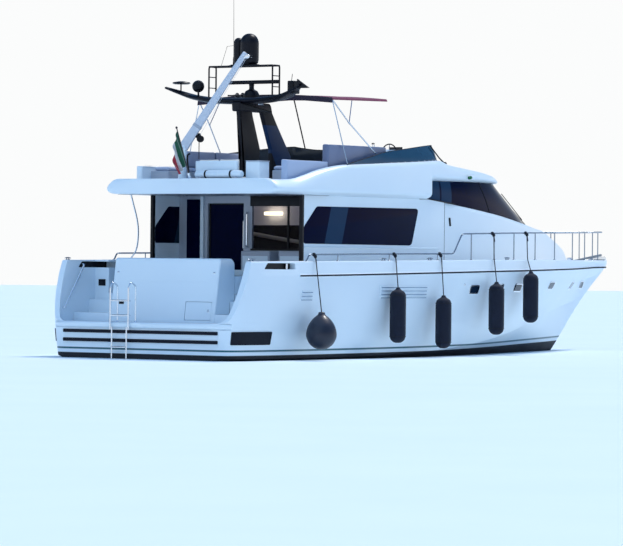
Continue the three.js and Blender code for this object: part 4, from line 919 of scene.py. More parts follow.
# Glazing round the raised house: black glass bonded in a leaning band from the sill to the
# roof, its panes parted by black seams. Columns: x and y of the foot, x and y of the head.
GLAZING = np.column_stack([np.arange(10.0), [
    [7.345, 1.872, 7.42, 1.845], [8.0, 1.868, 8.0, 1.825], [9.0, 1.828, 8.8, 1.785],
    [10.0, 1.718, 9.6, 1.69], [10.9, 1.565, 10.25, 1.545], [11.65, 1.39, 10.78, 1.29],
    [12.3, 1.15, 11.16, 0.96], [12.8, 0.88, 11.4, 0.64], [13.15, 0.56, 11.54, 0.33],
    [13.3, 0.0, 11.6, 0.0],
]])
SEAM_ROW, GLASS = 3.0, 0.016


def sill_at(x):
    return np.where(x < 8.0, np.interp(x, [7.3, 8.0], [3.292, 3.225]),
                    np.interp(x, TRUNK[:, 0], TRUNK[:, 3]))


def glazing_band(rows, depth=0.0):
    """Points of the band for rows of the table: from foot to head in straight lines, bowed out by a
    sine; depth moves them in along the horizontal normal. Returns rows by heights."""
    foot = np.stack([fair(GLAZING, rows, 1), fair(GLAZING, rows, 2)], -1)
    head = np.stack([fair(GLAZING, rows, 3), fair(GLAZING, rows, 4)], -1)
    normal = np.stack([(foot[:, 0] - 7.0) * 0.25, foot[:, 1]], -1)
    normal /= np.linalg.norm(normal, axis=1, keepdims=True)
    v = np.linspace(0, 1, 9)[None, :, None]
    flat = foot[:, None] * (1 - v) + head[:, None] * v + normal[:, None] * (0.02 * np.sin(np.pi * v) - depth)
    low = sill_at(foot[:, 0]) + 0.003
    height = low[:, None] + (GLASS_TOP - GAP - low[:, None]) * v[..., 0]
    return np.concatenate([flat, height[..., None]], -1)


def glass_skin(outer, inner, wrapped=False):
    """A sheet between two faces; a wrapped one goes on round the bow to the other side."""
    if wrapped:
        outer, inner = (np.concatenate([face, face[-2::-1] * (1, -1, 1)]) for face in (outer, inner))
    return loft(np.concatenate([outer, inner[:, ::-1]], 1))


side_tint = tinted("side_glass_tint", [(7.2, 7.86, 0.0), (7.92, 8.32, 0.0)])
front_tint = tinted("windscreen_tint", [])
side_rows = np.linspace(0, SEAM_ROW, 30)
side_pane = glass_skin(glazing_band(side_rows), glazing_band(side_rows, GLASS))
for side, hand in HANDS:
    piece(f"side_pane_{side}", {side_tint: [hand(side_pane)]}, replaces=[f"side_glass_{side}"])
front_rows = np.linspace(SEAM_ROW + 0.01, 9, 50)
seams = [tube(glazing_band(np.array([row]), -0.001)[0] * (1, hand, 1), 0.011, 8)
         for row in (SEAM_ROW, 6.3) for hand in (-1, 1)]
seams.append(tube(glazing_band(np.array([9.0]), -0.001)[0], 0.011, 8))
wiper_foot = glazing_band(np.array([5.9, 7.6]), -0.03)[:, 1]
wiper_tip = glazing_band(np.array([5.2, 7.0]), -0.03)[:, 6]
wipers = [tube([foot * (1, hand, 1), tip * (1, hand, 1)], 0.009, 8)
          for hand in (-1, 1) for foot, tip in zip(wiper_foot, wiper_tip)]
piece("windscreen_panes", {
    front_tint: [glass_skin(glazing_band(front_rows), glazing_band(front_rows, GLASS), wrapped=True)],
    black: seams + wipers,
}, replaces=["windscreen"])


# Flying bridge: overhang, saloon roof and coaming in one moulding with rolled edges, the deck
# sunk in it. Columns: x, half width, top of the coaming.
FLY = np.array([
    [1.60, 1.00, 3.570], [1.615, 1.45, 3.572], [1.65, 1.85, 3.574], [1.69, 2.08, 3.576],
    [1.76, 2.14, 3.578], [2.00, 2.165, 3.580], [2.30, 2.17, 3.592], [2.80, 2.17, 3.682],
    [3.30, 2.17, 3.790], [4.10, 2.17, 3.895], [5.50, 2.16, 3.970], [6.60, 2.11, 4.025],
    [7.285, 2.06, 4.060], [7.74, 2.02, 4.080], [8.10, 1.985, 4.010], [8.90, 1.89, 3.945],
    [9.70, 1.76, 3.890], [10.35, 1.60, 3.830], [10.90, 1.33, 3.760], [11.30, 1.01, 3.722],
    [11.56, 0.62, 3.702], [11.68, 0.24, 3.692],
])


def coaming_top(x):
    return np.interp(x, FLY[:, 0], FLY[:, 2])


def fly_sections(x, under):
    """Half sections: out along the underside, up a tucked-in edge and the side, and over a rolled
    top, all corners softened and the top's much more over the cockpit."""
    half, top = fair(FLY, x, 1), fair(FLY, x, 2)
    zero, rise, roll = np.zeros_like(x), top - under, np.clip((4.2 - x) / 1.5, 0, 1)
    controls = [(zero, under + zero), (half - np.minimum(0.13, half * 0.3), under + zero),
                (half, under + np.minimum(0.07, rise * 0.3)),
                (half - 0.002, top - np.minimum(0.09, rise * 0.35) - 0.07 * roll),
                (half - np.minimum(0.06, half * 0.2) - 0.12 * roll, top), (zero, top)]
    half_ring = np.stack([np.stack([x, y, z], -1) for y, z in controls])
    return arcs(half_ring, 0.06 + 0.08 * roll[:, None], steps=6)


COAMING = 0.175


def tub(stations, floor):
    """The space sunk in the moulding down to floor, as far in from its edge as the coaming is wide."""
    return trough(stations, np.interp(stations, FLY[:, 0], FLY[:, 1]) - COAMING, floor, 4.3)


tubs = [tub(np.concatenate([np.linspace(1.79, 2.3, 12), np.linspace(2.5, 7.22, 20)]), FLY_DECK),
        tub(np.linspace(7.2, 7.7, 6), HELM_SHELF)]
aft_x = np.concatenate([1.6 + 0.7 * np.linspace(0, 1, 26) ** 1.6, np.linspace(2.36, 7.288, 54)])
fore_x = np.concatenate([np.linspace(7.288, 11.2, 44), np.linspace(11.24, 11.68, 16)])
deck_half = np.interp(np.linspace(1.83, 7.18, 40), FLY[:, 0], FLY[:, 1]) - 0.215
deck_plan = np.stack([np.linspace(1.83, 7.18, 40), deck_half], -1)
downlights = [turned([(0, -0.012), (0.05, -0.012), (0.062, -0.004), (0.062, 0.004)], (x, y, OVERHANG))
              for x in (2.35, 3.2) for y in (-1.25, 0, 1.25)]
# A grey panel under the overhang, painted dark as the shade there.
shaded_soffit = gelcoat("soffit_painted_shade", (112, 118, 130), (98, 104, 118))
soffit_plan = arcs([(1.86, -1.98), (3.76, -1.98), (3.76, 1.98), (1.86, 1.98)], 0.08, True)
piece("flybridge_moulding", {
    shaded_soffit: [plate(soffit_plan, "xy", OVERHANG - 0.006, OVERHANG + 0.01, 0.004)],
    white: [carved([shell(fly_sections(aft_x, OVERHANG))], tubs),
            carved([shell(fly_sections(fore_x, GLASS_TOP))], tubs)],
    nonskid: [plate(np.concatenate([deck_plan, deck_plan[::-1] * (1, -1)]), "xy", FLY_DECK - 0.002,
                    FLY_DECK + 0.0003)],
    stainless: downlights,
}, replaces=["flybridge"], crease=24)

# Wind deflector: dark teal acrylic moulded in one, wrapped round the helm and bolted to the
# coaming. Columns: x and y of the foot, height, how far the top is set back.
VENTURI = np.column_stack([np.arange(10.0), [
    [4.17, 2.09, 0.006, 0.0], [5.0, 2.09, 0.13, 0.02], [5.6, 2.075, 0.215, 0.04], [6.4, 2.04, 0.265, 0.06],
    [7.2, 1.975, 0.305, 0.09], [7.7, 1.89, 0.32, 0.12], [8.05, 1.62, 0.33, 0.15], [8.26, 1.15, 0.335, 0.17],
    [8.36, 0.6, 0.338, 0.18], [8.38, 0.0, 0.34, 0.18],
]])


def venturi_band(rows, depth=0.0):
    """Points from the foot, sunk in the coaming, to the head: the height and the set-back grow
    together, the set-back by a power a little over one, so the sheet bows outward."""
    foot = np.stack([fair(VENTURI, rows, 1), fair(VENTURI, rows, 2)], -1)
    height, back = fair(VENTURI, rows, 3)[:, None], fair(VENTURI, rows, 4)[:, None]
    normal = np.stack([np.maximum(foot[:, 0] - 7.0, 0) * 1.4, foot[:, 1]], -1)
    normal /= np.linalg.norm(normal, axis=1, keepdims=True)
    v = np.linspace(0, 1, 8)[None, :]
    flat = foot[:, None] - normal[:, None] * (back[..., None] * v[..., None] ** 1.3 + depth)
    base = coaming_top(foot[:, 0])[:, None] - 0.04
    return np.concatenate([flat, (base + (height + 0.04) * v)[..., None]], -1)


acrylic = Finish("teal_acrylic", IOR=1.49)
# Faces turned in towards the centreline are painted near black, as the shade inside the sheet.
shaded_inner_face = (acrylic.axis(1) * acrylic.facing(1)).past(-0.02, 0.02) * -1 + 1
sheet_shade = acrylic.blend(acrylic.noise(1.1, 2), tint(20, 58, 84), tint(30, 72, 98))
acrylic.feed(Base_Color=acrylic.blend(shaded_inner_face, sheet_shade, tint(6, 9, 22)))
acrylic.feed(Roughness=0.05 + acrylic.noise(2) * 0.06, Alpha=0.96)
acrylic.bump(acrylic.noise(0.7, 1), 0.006, 0.2)
rows = np.linspace(0, 9, 80)
rim = venturi_band(rows, 0.008)[:, -1]
bolt_at = venturi_band(np.linspace(0.6, 8.8, 26), -0.002)[:, 1]
bolts = [turned([(0, 0.004), (0.008, 0.003), (0.011, -0.004)], at * (1, hand, 1), (0.1, hand, 0), 10)
         for hand in (-1, 1) for at in bolt_at]
piece("venturi_sheet", {
    acrylic: [glass_skin(venturi_band(rows), venturi_band(rows, 0.016), wrapped=True)],
    black: [tube(np.concatenate([rim, rim[-2::-1] * (1, -1, 1)]), 0.010, 8)],
    stainless: bolts,
}, replaces=["venturi_screen"])

# Helm: moulded console with a raised instrument pod, three gauges, a plotter, two throttles and
# a compass; the wheel has a thin rim on three spokes.
helm_face = [(7.48, 3.7204), (7.69, 3.7204), (7.69, 4.30), (7.61, 4.33), (7.47, 4.18)]
gauge_face = coated("gauge_face", (16, 18, 22), (60, 66, 74), (40, 2), Roughness=0.3)
slope = np.array([7.61 - 7.47, 0, 4.33 - 4.18])
face_normal = np.array([-slope[2], 0, slope[0]]) / np.linalg.norm(slope)
gauges = [np.array([7.54, y, 4.255]) for y in (-1.34, -1.18, -0.62, -0.46)]
piece("helm_console_moulding", {
    white: [plate(arcs(helm_face, 0.03, True), "xz", -1.5, -0.33, 0.015)],
    black: [turned([(0.034, 0), (0.034, 0.11), (0.05, 0.12), (0.05, 0.14)], (7.43, -0.9, 4.24),
                   (1, 0, 0), 20),
            slab(7.60, 7.625, -1.08, -0.74, 4.30, 4.37, 0.02, 0.008)]
    + [turned([(0.05, -0.004), (0.05, 0.006), (0.042, 0.010)], at, face_normal, 20) for at in gauges],
    gauge_face: [turned([(0, 0.007), (0.042, 0.007)], at, face_normal, 20) for at in gauges]
    + [slab(7.594, 7.60, -1.06, -0.76, 4.305, 4.36, 0.01, 0.002)],
    stainless: [tube([(7.60, y, 4.32), (7.58, y, 4.36), (7.545, y, 4.44)], 0.007, 8)
                for y in (-0.40, -0.36)],
    rubber: [turned([(0, 0.02), (0.013, 0.012), (0.015, 0), (0.013, -0.012), (0, -0.02)],
                    (7.543, y, 4.445), sides=12)
             for y in (-0.40, -0.36)],
}, replaces=["helm_console"])
WHEEL_Y, WHEEL_Z = -0.9, 4.24


def on_wheel(radius, angle):
    """Points of a circle round the wheel's shaft."""
    return np.stack([np.full_like(angle, 7.394), WHEEL_Y + radius * np.cos(angle),
                     WHEEL_Z + radius * np.sin(angle)], -1)


rim_path = on_wheel(0.185, np.linspace(0, 2 * np.pi, 48, endpoint=False))
spokes = [tube([(7.415, WHEEL_Y, WHEEL_Z), end], 0.009, 10)
          for end in on_wheel(0.18, np.radians([90, 210, 330]))]
piece("helm_wheel_rim", {
    rubber: [tube(rim_path, 0.013, 12, closed=True)],
    stainless: spokes + [turned([(0, -0.004), (0.03, 0), (0.036, 0.012), (0.034, 0.04)],
                                (7.387, WHEEL_Y, WHEEL_Z), (1, 0, 0))],
}, body="helm_wheel", replaces=["helm_wheel"])
piece("helm_seat_moulding", {
    white: [slab(6.35, 6.85, -1.35, -0.45, ON_FLY_DECK, 3.80, 0.06, 0.02),
            plate(arcs([(6.30, 3.70), (6.43, 3.70), (6.40, 4.24), (6.28, 4.24)], 0.03, True), "xz", -1.35,
                  -0.45, 0.02)],
}, replaces=["helm_seat"])

# Flying bridge seats: hollow mouldings with lids, a long settee on either side and a bench
# aft, each under loose vinyl cushions with foam inside and piped edges.
# The starboard low back is white moulding painted in pale blue shade; the port one is plain white.
shaded_seat_back = gelcoat("shaded_seat_back", (176, 194, 222), (164, 182, 212))
high_back = gelcoat("high_seat_back", (112, 126, 156), (100, 112, 142))
SEAT_RISE = {"port": (3.85, 4.19, white), "starboard": (3.95, 4.30, shaded_seat_back)}
for side, hand in HANDS:
    low_back, high_back_top, low_finish = SEAT_RISE[side]
    piece(f"fly_settee_mould_{side}", {
        grey: [hand(slab(2.68, 5.85, 1.30, 1.885, ON_FLY_DECK, 3.76, 0.05, 0.02)),
               hand(slab(2.8, 4.05, 1.292, 1.30, 3.50, 3.70, 0.03, 0.004)),
               hand(slab(4.15, 5.7, 1.292, 1.30, 3.50, 3.70, 0.03, 0.004))],
        low_finish: [hand(slab(2.38, 3.80, 1.74, 1.890, 3.46, low_back, 0.04, 0.02))],
        high_back: [hand(slab(3.79, 5.85, 1.74, 1.890, 3.46, high_back_top, 0.04, 0.02))],
    }, replaces=[f"fly_settee_{side}"])
piece("fly_aft_seat_mould", {
    white: [slab(1.98, 2.36, -1.49, 0.09, ON_FLY_DECK, 3.56, 0.04, 0.015),
            slab(1.98, 2.06, -0.95, 0.08, 3.55, 3.93, 0.03, 0.015),
            slab(2.0, 2.36, -1.49, -1.15, 3.55, 3.91, 0.04, 0.015)],
    grey: [slab(1.99, 2.37, -1.50, -1.14, 3.91, 3.93, 0.05, 0.008)],
}, replaces=["fly_aft_seat"])
lilac = coated("lilac_vinyl", (176, 186, 208), (160, 172, 198), (3,), (0.55, 0.2, 60), (0.0005, 1.0, 220, 2),
               Sheen_Weight=0.2)
for side, hand in (("port", 1), ("starboard", -1)):
    seats = [(x0, x1, 1.29, 1.69, 3.765, 3.835) for x0, x1 in ((2.70, 3.53), (3.545, 4.675), (4.69, 5.82))]
    low, rise = SEAT_RISE[side][0] + 0.02, SEAT_RISE[side][1] + 0.02
    backs = [(2.41, 3.77, 1.71, 1.775, 3.86, low), (3.82, 4.81, 1.70, 1.775, 3.86, rise),
             (4.84, 5.83, 1.70, 1.775, 3.86, rise)]
    pads = [(x0, x1, *sorted((y0 * hand, y1 * hand)), z0, z1) for x0, x1, y0, y1, z0, z1 in seats + backs]
    upholstered(f"fly_settee_cushions_{side}", pads, lilac, [f"fly_settee_{side}"], cap=0.012, voxel=0.03)
upholstered("fly_aft_cushions", [(2.07, 2.35, -1.14, -0.54, 3.562, 3.60),
                                 (2.07, 2.35, -0.53, 0.08, 3.562, 3.60),
                                 (2.065, 2.13, -0.94, -0.44, 3.62, 3.965),
                                 (2.065, 2.13, -0.43, 0.07, 3.62, 3.965)],
            cream, ["fly_aft_seat"], cap=0.012, voxel=0.022)
upholstered("helm_seat_cushions", [(6.37, 6.84, -1.34, -0.46, 3.81, 3.87),
                                   (6.41, 6.47, -1.32, -0.48, 3.9, 4.27)],
            cream, ["helm_seat"], cap=0.012, voxel=0.022)

# Life raft in a white canister of two halves, held down on its cradle by two webbing straps.
canister = [(0.0, -0.005), (0.05, 0.0), (0.07, 0.02), (0.075, 0.06), (0.078, 0.3), (0.078, 0.55),
            (0.082, 0.555), (0.082, 0.575), (0.078, 0.58), (0.078, 0.85), (0.075, 1.09), (0.07, 1.13),
            (0.05, 1.15), (0.0, 1.155)]
piece("raft_case", {
    white: [turned(canister, (1.895, -1.16, 3.66), (0, 1, 0), 32)],
    grey: [slab(1.83, 1.96, y, y + 0.08, ON_FLY_DECK, 3.61, 0.01, 0.006) for y in (-1.06, -0.18)]
    + [slab(1.84, 1.95, -1.14, -0.02, ON_FLY_DECK, 3.49, 0.01, 0.006)],
    black: [turned([(0.078, -0.02), (0.083, -0.018), (0.083, 0.018), (0.078, 0.02)], (1.895, y, 3.66),
                   (0, 1, 0), 32)
            for y in (-0.9, -0.28)],
}, replaces=["raft_canister"])

# Radar pylon: black moulded legs and crown under a swept foil, with the radar's pedestal, an
# after-deck lamp, two horns, a disc aerial on its post and a finned aerial on top.
# Columns of the foil: y, aft edge, front edge, height, thickness.
WING = np.array([
    [-1.69, 3.04, 3.15, 5.465, 0.05], [-1.48, 3.09, 3.36, 5.385, 0.08], [-1.10, 3.15, 3.60, 5.265, 0.11],
    [-0.6, 3.20, 3.68, 5.20, 0.13], [0, 3.22, 3.70, 5.185, 0.135], [0.6, 3.20, 3.68, 5.20, 0.13],
    [1.10, 3.15, 3.60, 5.265, 0.11], [1.48, 3.09, 3.36, 5.385, 0.08], [1.69, 3.04, 3.15, 5.465, 0.05],
])
paint = Finish("black_paint", Specular_IOR_Level=0.25)
blue = (1 - paint.axis(2).past(4.72, 0.01)) * (paint.axis(0) + paint.axis(2) * 0.64).past(7.05, 0.01)
paint.feed(Base_Color=paint.blend(blue, paint.blend(paint.noise(2.5), tint(9, 9, 18), tint(17, 17, 28)),
                                  tint(22, 52, 88)))
paint.feed(Roughness=0.34 + paint.noise(30) * 0.12)
paint.bump(paint.noise(240, 2), 0.0002)
span = np.linspace(-1.69, 1.69, 72)
around = np.linspace(0, 2 * np.pi, 36, endpoint=False)


def wing_section(y):
    """An ellipse for each y, its points drawn towards the chord's ends: aft + chord (1 + cos a) / 2
    along x, and thickness sin a / 2 up."""
    aft, front, middle, thick = (fair(WING, y, column)[:, None] for column in (1, 2, 3, 4))
    x = aft + (front - aft) * (1 + np.cos(around)) / 2
    return np.stack([x, np.broadcast_to(y[:, None], x.shape), middle + thick * np.sin(around) / 2], -1)


pedestal = [(0, 5.12), (0.15, 5.12), (0.165, 5.30), (0.16, 5.33), (0.12, 5.40), (0.06, 5.43), (0.05, 5.45),
            (0.05, 5.5096)]
aft_leg = arcs([(3.42, ON_FLY_DECK), (3.51, ON_FLY_DECK), (3.53, 3.85), (3.97, 4.02), (3.99, 4.22),
                (3.73, 4.89), (3.66, 5.15), (3.27, 5.15), (3.29, 4.94), (3.42, 4.14)], 0.02, True)
fore_leg = arcs([(4.42, ON_FLY_DECK), (5.05, ON_FLY_DECK), (5.06, 4.10), (4.58, 4.72), (4.27, 5.15),
                 (3.99, 5.15), (4.09, 4.90), (4.386, 4.234)], 0.02, True)
crown = arcs([(3.22, 4.97), (4.33, 4.97), (4.29, 5.1), (4.24, 5.16), (3.2, 5.16)], 0.03, True)
fin = arcs([(-1.60, 5.40), (-1.90, 5.40), (-1.63, 5.57), (-1.60, 5.59)], 0.02, True)
piece("pylon_moulding", {
    paint: [plate(aft_leg, "xz", -0.05, 0.05, 0.015), plate(fore_leg, "xz", -0.05, 0.05, 0.015),
            plate(crown, "xz", -0.11, 0.11, 0.03), loft(wing_section(span)),
            turned(pedestal, (3.74, 0, 0), sides=40)],
}, replaces=["pylon"])
lens = coated("lamp_lens", (236, 240, 244), (222, 228, 236), (5,), (0.15, 0.1, 20),
              Transmission_Weight=0.4, IOR=1.45)
horn = [(0.0, 0.0), (0.018, 0.0), (0.014, 0.03), (0.016, 0.2), (0.03, 0.26), (0.055, 0.30),
        (0.058, 0.305), (0.0, 0.27)]
LAMP_AT, LAMP_WAY = (3.3, 1.02, 5.49), (0.75, 0.66, 0.1)
piece("pylon_fittings", {
    black: [tube([(3.3, 1.47, 5.36), (3.3, 1.47, 5.56)], 0.014, 12),
            turned([(0, 5.54), (0.15, 5.545), (0.19, 5.565), (0.17, 5.585), (0.06, 5.605), (0, 5.608)],
                   (3.3, 1.46, 0)),
            turned([(0.0, -0.05), (0.05, -0.045), (0.11, 0.0), (0.125, 0.07), (0.115, 0.075), (0, 0.05)],
                   LAMP_AT, LAMP_WAY),
            tube([(3.3, 1.02, 5.26), (3.3, 1.02, 5.42)], 0.02, 12),
            tube([(3.3, -1.31, 5.5), (3.3, -1.34, 5.70)], 0.006, 8),
            slab(3.18, 3.42, -1.45, -1.29, 5.30, 5.56, 0.04, 0.02), plate(fin, "yz", 3.09, 3.13, 0.008)],
    lens: [turned([(0, 0.04), (0.1, 0.07), (0.11, 0.068)], LAMP_AT, LAMP_WAY, 24),
           *[turned([(0, 0), (0.05, 0.0), (0.055, 0.03), (0, 0.035)], (3.62, y, 5.135), (0, 0, -1), 20)
             for y in (-0.32, 0.32)]],
    paint: [turned(horn, (3.62, y, 5.31), (1, 0, 0.04), 20) for y in (0.36, 0.50)],
})

# Pipe frame on the foil, welded from bent tube, with a tray for the domes and steps each side.
CAGE_AFT, CAGE_FRONT, CAGE_HALF, CAGE_FOOT, CAGE_TOP = 3.36, 3.60, 0.80, 5.232, 5.89
cage = [tube([(CAGE_AFT, y, CAGE_FOOT), (CAGE_AFT, y, CAGE_TOP), (CAGE_FRONT, y, CAGE_TOP),
              (CAGE_FRONT, y, CAGE_FOOT)],
             0.017, 14, 0.05) for y in (-CAGE_HALF, CAGE_HALF)]
cage += [tube([(CAGE_AFT, y, z), (CAGE_FRONT, y, z)], 0.010, 10) for y in (-CAGE_HALF, CAGE_HALF)
         for z in (5.46, 5.68)]
cage += [tube([(x, -CAGE_HALF, CAGE_TOP), (x, CAGE_HALF, CAGE_TOP)], 0.017, 14)
         for x in (CAGE_AFT, CAGE_FRONT)]
cage += [turned([(0.017, 0.03), (0.04, 0.012), (0.042, 0.0)], (x, y, CAGE_FOOT), sides=20)
         for x in (CAGE_AFT, CAGE_FRONT) for y in (-CAGE_HALF, CAGE_HALF)]
cage.append(slab(3.34, 3.62, -0.42, 0.30, 5.892, 5.912, 0.03, 0.006))
piece("antenna_frame", {paint: cage}, replaces=["antenna_cage"])

# Open radar: a moulded bar with a rounded section and a pale edge line, on a short hub.
bar = arcs([(3.695, 5.54), (3.785, 5.54), (3.792, 5.58), (3.778, 5.615), (3.702, 5.615), (3.688, 5.58)],
           0.018, True)
piece("radar_bar", {
    paint: [plate(bar, "xz", -0.69, 0.69, 0.014),
            turned([(0.055, 5.51), (0.055, 5.53), (0.045, 5.55)], (3.74, 0, 0), sides=32)],
    grey: [slab(3.7925, 3.7945, -0.63, 0.63, 5.572, 5.582, 0.0008)],
}, body="radar_array", replaces=["radar_array"])


# Domes and whip aerial: two drum-shaped domes with rounded tops and a joint line low down, and
# the whip in its ferrule, guyed to nothing and a little bent by its own weight.
def dome(radius, foot, top, origin):
    low = [(0, foot), (radius * 0.78, foot), (radius * 0.94, foot + radius * 0.18),
           (radius, foot + radius * 0.5), (radius, foot + radius * 0.8),
           (radius * 0.985, foot + radius * 0.81), (radius, foot + radius * 0.82)]
    angle = np.linspace(0, np.pi / 2, 12)
    cap = np.stack([radius * np.cos(angle) ** 0.9, top - radius * 1.1 + radius * 1.1 * np.sin(angle)], -1)
    return turned(np.concatenate([low, cap]), origin, sides=40)


whip_t = np.linspace(0, 1, 30)
whip = np.stack([3.48 - 0.03 * whip_t ** 2, 0.268 + 0.002 * whip_t, 6.06 + 1.84 * whip_t], -1)
piece("domes_and_whip", {
    paint: [dome(0.19, 5.926, 6.55, (3.48, -0.13, 0)), dome(0.10, 5.926, 6.47, (3.47, 0.135, 0)),
            slab(3.39, 3.57, -0.33, 0.29, 5.9146, 5.926, 0.03, 0.004)],
    black: [turned([(0.016, 5.92), (0.018, 5.95), (0.014, 6.0), (0.016, 6.03), (0.011, 6.08)],
                   (3.48, 0.268, 0), sides=20),
            tube(whip, 0.0055 - 0.003 * whip_t, 8),
            tube([(3.47, 0.27, 6.315), (3.46, 0.42, 6.30), (3.45, 0.56, 5.90)], 0.004, 8)],
}, replaces=["antenna_domes"])

# Bimini frame: bent stainless tube on deck hinges, with a folding jaw slide on each side.
BIMINI_AFT, BIMINI_FRONT, BIMINI_HALF, BIMINI_Z = 4.18, 6.12, 1.70, 5.262


def canopy_at(x, y):
    """Height of the canvas: a parabola across and a slow rise forward."""
    return BIMINI_Z + 0.02 * (x - BIMINI_AFT) + 0.085 * (1 - (y / BIMINI_HALF) ** 2)


corner, jaw, fore = (4.20, 1.68, 5.225), (4.68, 1.77, 4.76), (6.09, 1.68, 5.262)
bow_y = np.linspace(-1.68, 1.68, 25)
feet = [np.array([x, 2.028, coaming_top(x) - 0.004]) for x in (4.27, 5.56)]
bimini = [
    tube([feet[0], corner], 0.011, 10), tube([corner, jaw, feet[1]], 0.013, 12, 0.03),
    tube([jaw, (4.9, 1.68, 5.238)], 0.010, 10), tube([corner, fore], 0.011, 10),
    turned([(0.016, -0.03), (0.019, -0.025), (0.019, 0.025), (0.016, 0.03)], jaw,
           np.subtract(feet[1], jaw), 16),
]
bimini += [turned([(0.03, -0.012), (0.03, 0.002), (0.016, 0.006), (0.014, 0.035)], foot, sides=20)
           for foot in feet]
piece("bimini_tubes", {
    stainless: both(*bimini)
    + [tube(np.stack([0 * bow_y + x, bow_y, canopy_at(x, bow_y) - 0.018], -1), 0.012, 12)
       for x in (4.20, 5.14, 6.09)],
    black: [tube([(4.22, -0.70, 5.30), (4.65, -0.70, 4.25)], 0.014, 10)],
}, replaces=["bimini_frame"])

# Bimini canvas: one acrylic cloth, laced tight over the bows and turned down along its edges,
# deepest aft; it sags a little between the bows.
canvas = Finish("maroon_canvas", Sheen_Weight=0.15)
weave = canvas.noise(300, 2)
cloth_shade = canvas.blend(canvas.noise(1.5), tint(136, 52, 84), tint(112, 42, 72))
# Faces that look aft, the aft valance above all, are painted dark as shade.
canvas.feed(Base_Color=canvas.blend(canvas.facing(0).past(-0.4, 0.3), tint(46, 34, 52), cloth_shade))
canvas.feed(Roughness=0.8 + weave * 0.1)
canvas.bump(weave, 0.0006)
lengthwise = arcs([(BIMINI_AFT - 0.012, -0.11), *[(x, 0) for x in np.linspace(BIMINI_AFT, BIMINI_FRONT, 33)],
                   (BIMINI_FRONT + 0.008, -0.05)], 0.02, steps=3)[:, None]
crosswise = arcs([(-BIMINI_HALF - 0.008, -0.05),
                  *[(y, 0) for y in np.linspace(-BIMINI_HALF, BIMINI_HALF, 41)],
                  (BIMINI_HALF + 0.008, -0.05)], 0.02, steps=3)[None]
canvas_x, canvas_y = np.broadcast_arrays(lengthwise[..., 0], crosswise[..., 0])
fold = np.minimum(lengthwise[..., 1], crosswise[..., 1])
sag = 0.02 * np.abs(np.sin(np.pi * (canvas_x - BIMINI_AFT) / 0.97)) * (fold == 0)
top_side = np.stack([canvas_x, canvas_y, canopy_at(canvas_x, canvas_y) - sag + fold], -1)
across = np.cross(np.gradient(top_side, axis=0), np.gradient(top_side, axis=1))
bottom_side = top_side - 0.002 * across / np.linalg.norm(across, axis=-1, keepdims=True)
canopy = piece("bimini_cloth", {canvas: [loft(np.concatenate([top_side, bottom_side[:, ::-1]], 1))]},
               replaces=["bimini_canvas"], crease=50)

# Crane: a turned post, a forked head that turns on it, and a tapered box boom with a joint ring,
# a winch slung under it and a wire from there to the sheave at its tip.
CRANE_X, CRANE_Y, PIVOT, BOOM = 2.02, 0.43, 4.18, 2.3
slew, luff = math.radians(-60), math.radians(57)
slewed = np.array([[math.cos(slew), -math.sin(slew), 0], [math.sin(slew), math.cos(slew), 0], [0, 0, 1]])
luffed = np.array([[math.cos(luff), 0, -math.sin(luff)], [0, 1, 0], [math.sin(luff), 0, math.cos(luff)]])
post = [(0, ON_FLY_DECK), (0.15, ON_FLY_DECK), (0.15, 3.474), (0.144, 3.48), (0.095, 3.485), (0.086, 3.51),
        (0.075, 3.92), (0.078, 3.93), (0.078, 3.95), (0.0, 3.9538)]
piece("crane_column", {
    white: [turned(post, (CRANE_X, CRANE_Y, 0), sides=40)],
    stainless: [turned([(0, 3.478), (0.012, 3.478), (0.012, 3.492), (0, 3.492)],
                       (CRANE_X + 0.122 * math.cos(a), CRANE_Y + 0.122 * math.sin(a), 0), sides=6)
                for a in np.radians(range(0, 360, 60))],
}, replaces=["crane_post"])


def crane_part(skin):
    return moved(skin, slewed, (CRANE_X, CRANE_Y, 0))


cheek = arcs([(-0.07, 4.035), (0.07, 4.035), (0.07, 4.18), (0.04, 4.25), (-0.04, 4.25), (-0.07, 4.18)],
             0.03, True)
piece("crane_head", {
    white: [crane_part(turned([(0, 3.9544), (0.07, 3.9544), (0.08, 4.03), (0, 4.03)], sides=32)),
            crane_part(slab(-0.07, 0.07, -0.086, 0.086, 4.025, 4.055, 0.02, 0.008)),
            crane_part(plate(cheek, "xz", 0.07, 0.086, 0.004)),
            crane_part(plate(cheek, "xz", -0.086, -0.07, 0.004))],
    stainless: [crane_part(turned([(0.0, 0.0), (0.028, 0.0), (0.028, 0.012), (0.02, 0.018), (0.0, 0.018)],
                                  (0, y, PIVOT), (0, y, 0), 20)) for y in (0.086, -0.086)],
}, body="crane_fork", replaces=["crane_fork"])
BOOM_ENDS, JOINT = (0.095, 0.052), 0.54
boom_white = gelcoat("boom_paint", (206, 213, 224), (194, 202, 215))


def boom_part(skin):
    return moved(skin, slewed @ luffed, (CRANE_X, CRANE_Y, PIVOT))


def box_ring(reach, swell):
    """The boom's section: a rounded square that shrinks steadily towards the tip."""
    half = np.interp(reach, [0, BOOM], BOOM_ENDS) + swell
    ring = arcs([(-0.9 * half, -half), (0.9 * half, -half), (0.9 * half, half), (-0.9 * half, half)], 0.03,
                True)
    return np.column_stack([np.full(len(ring), reach), ring])


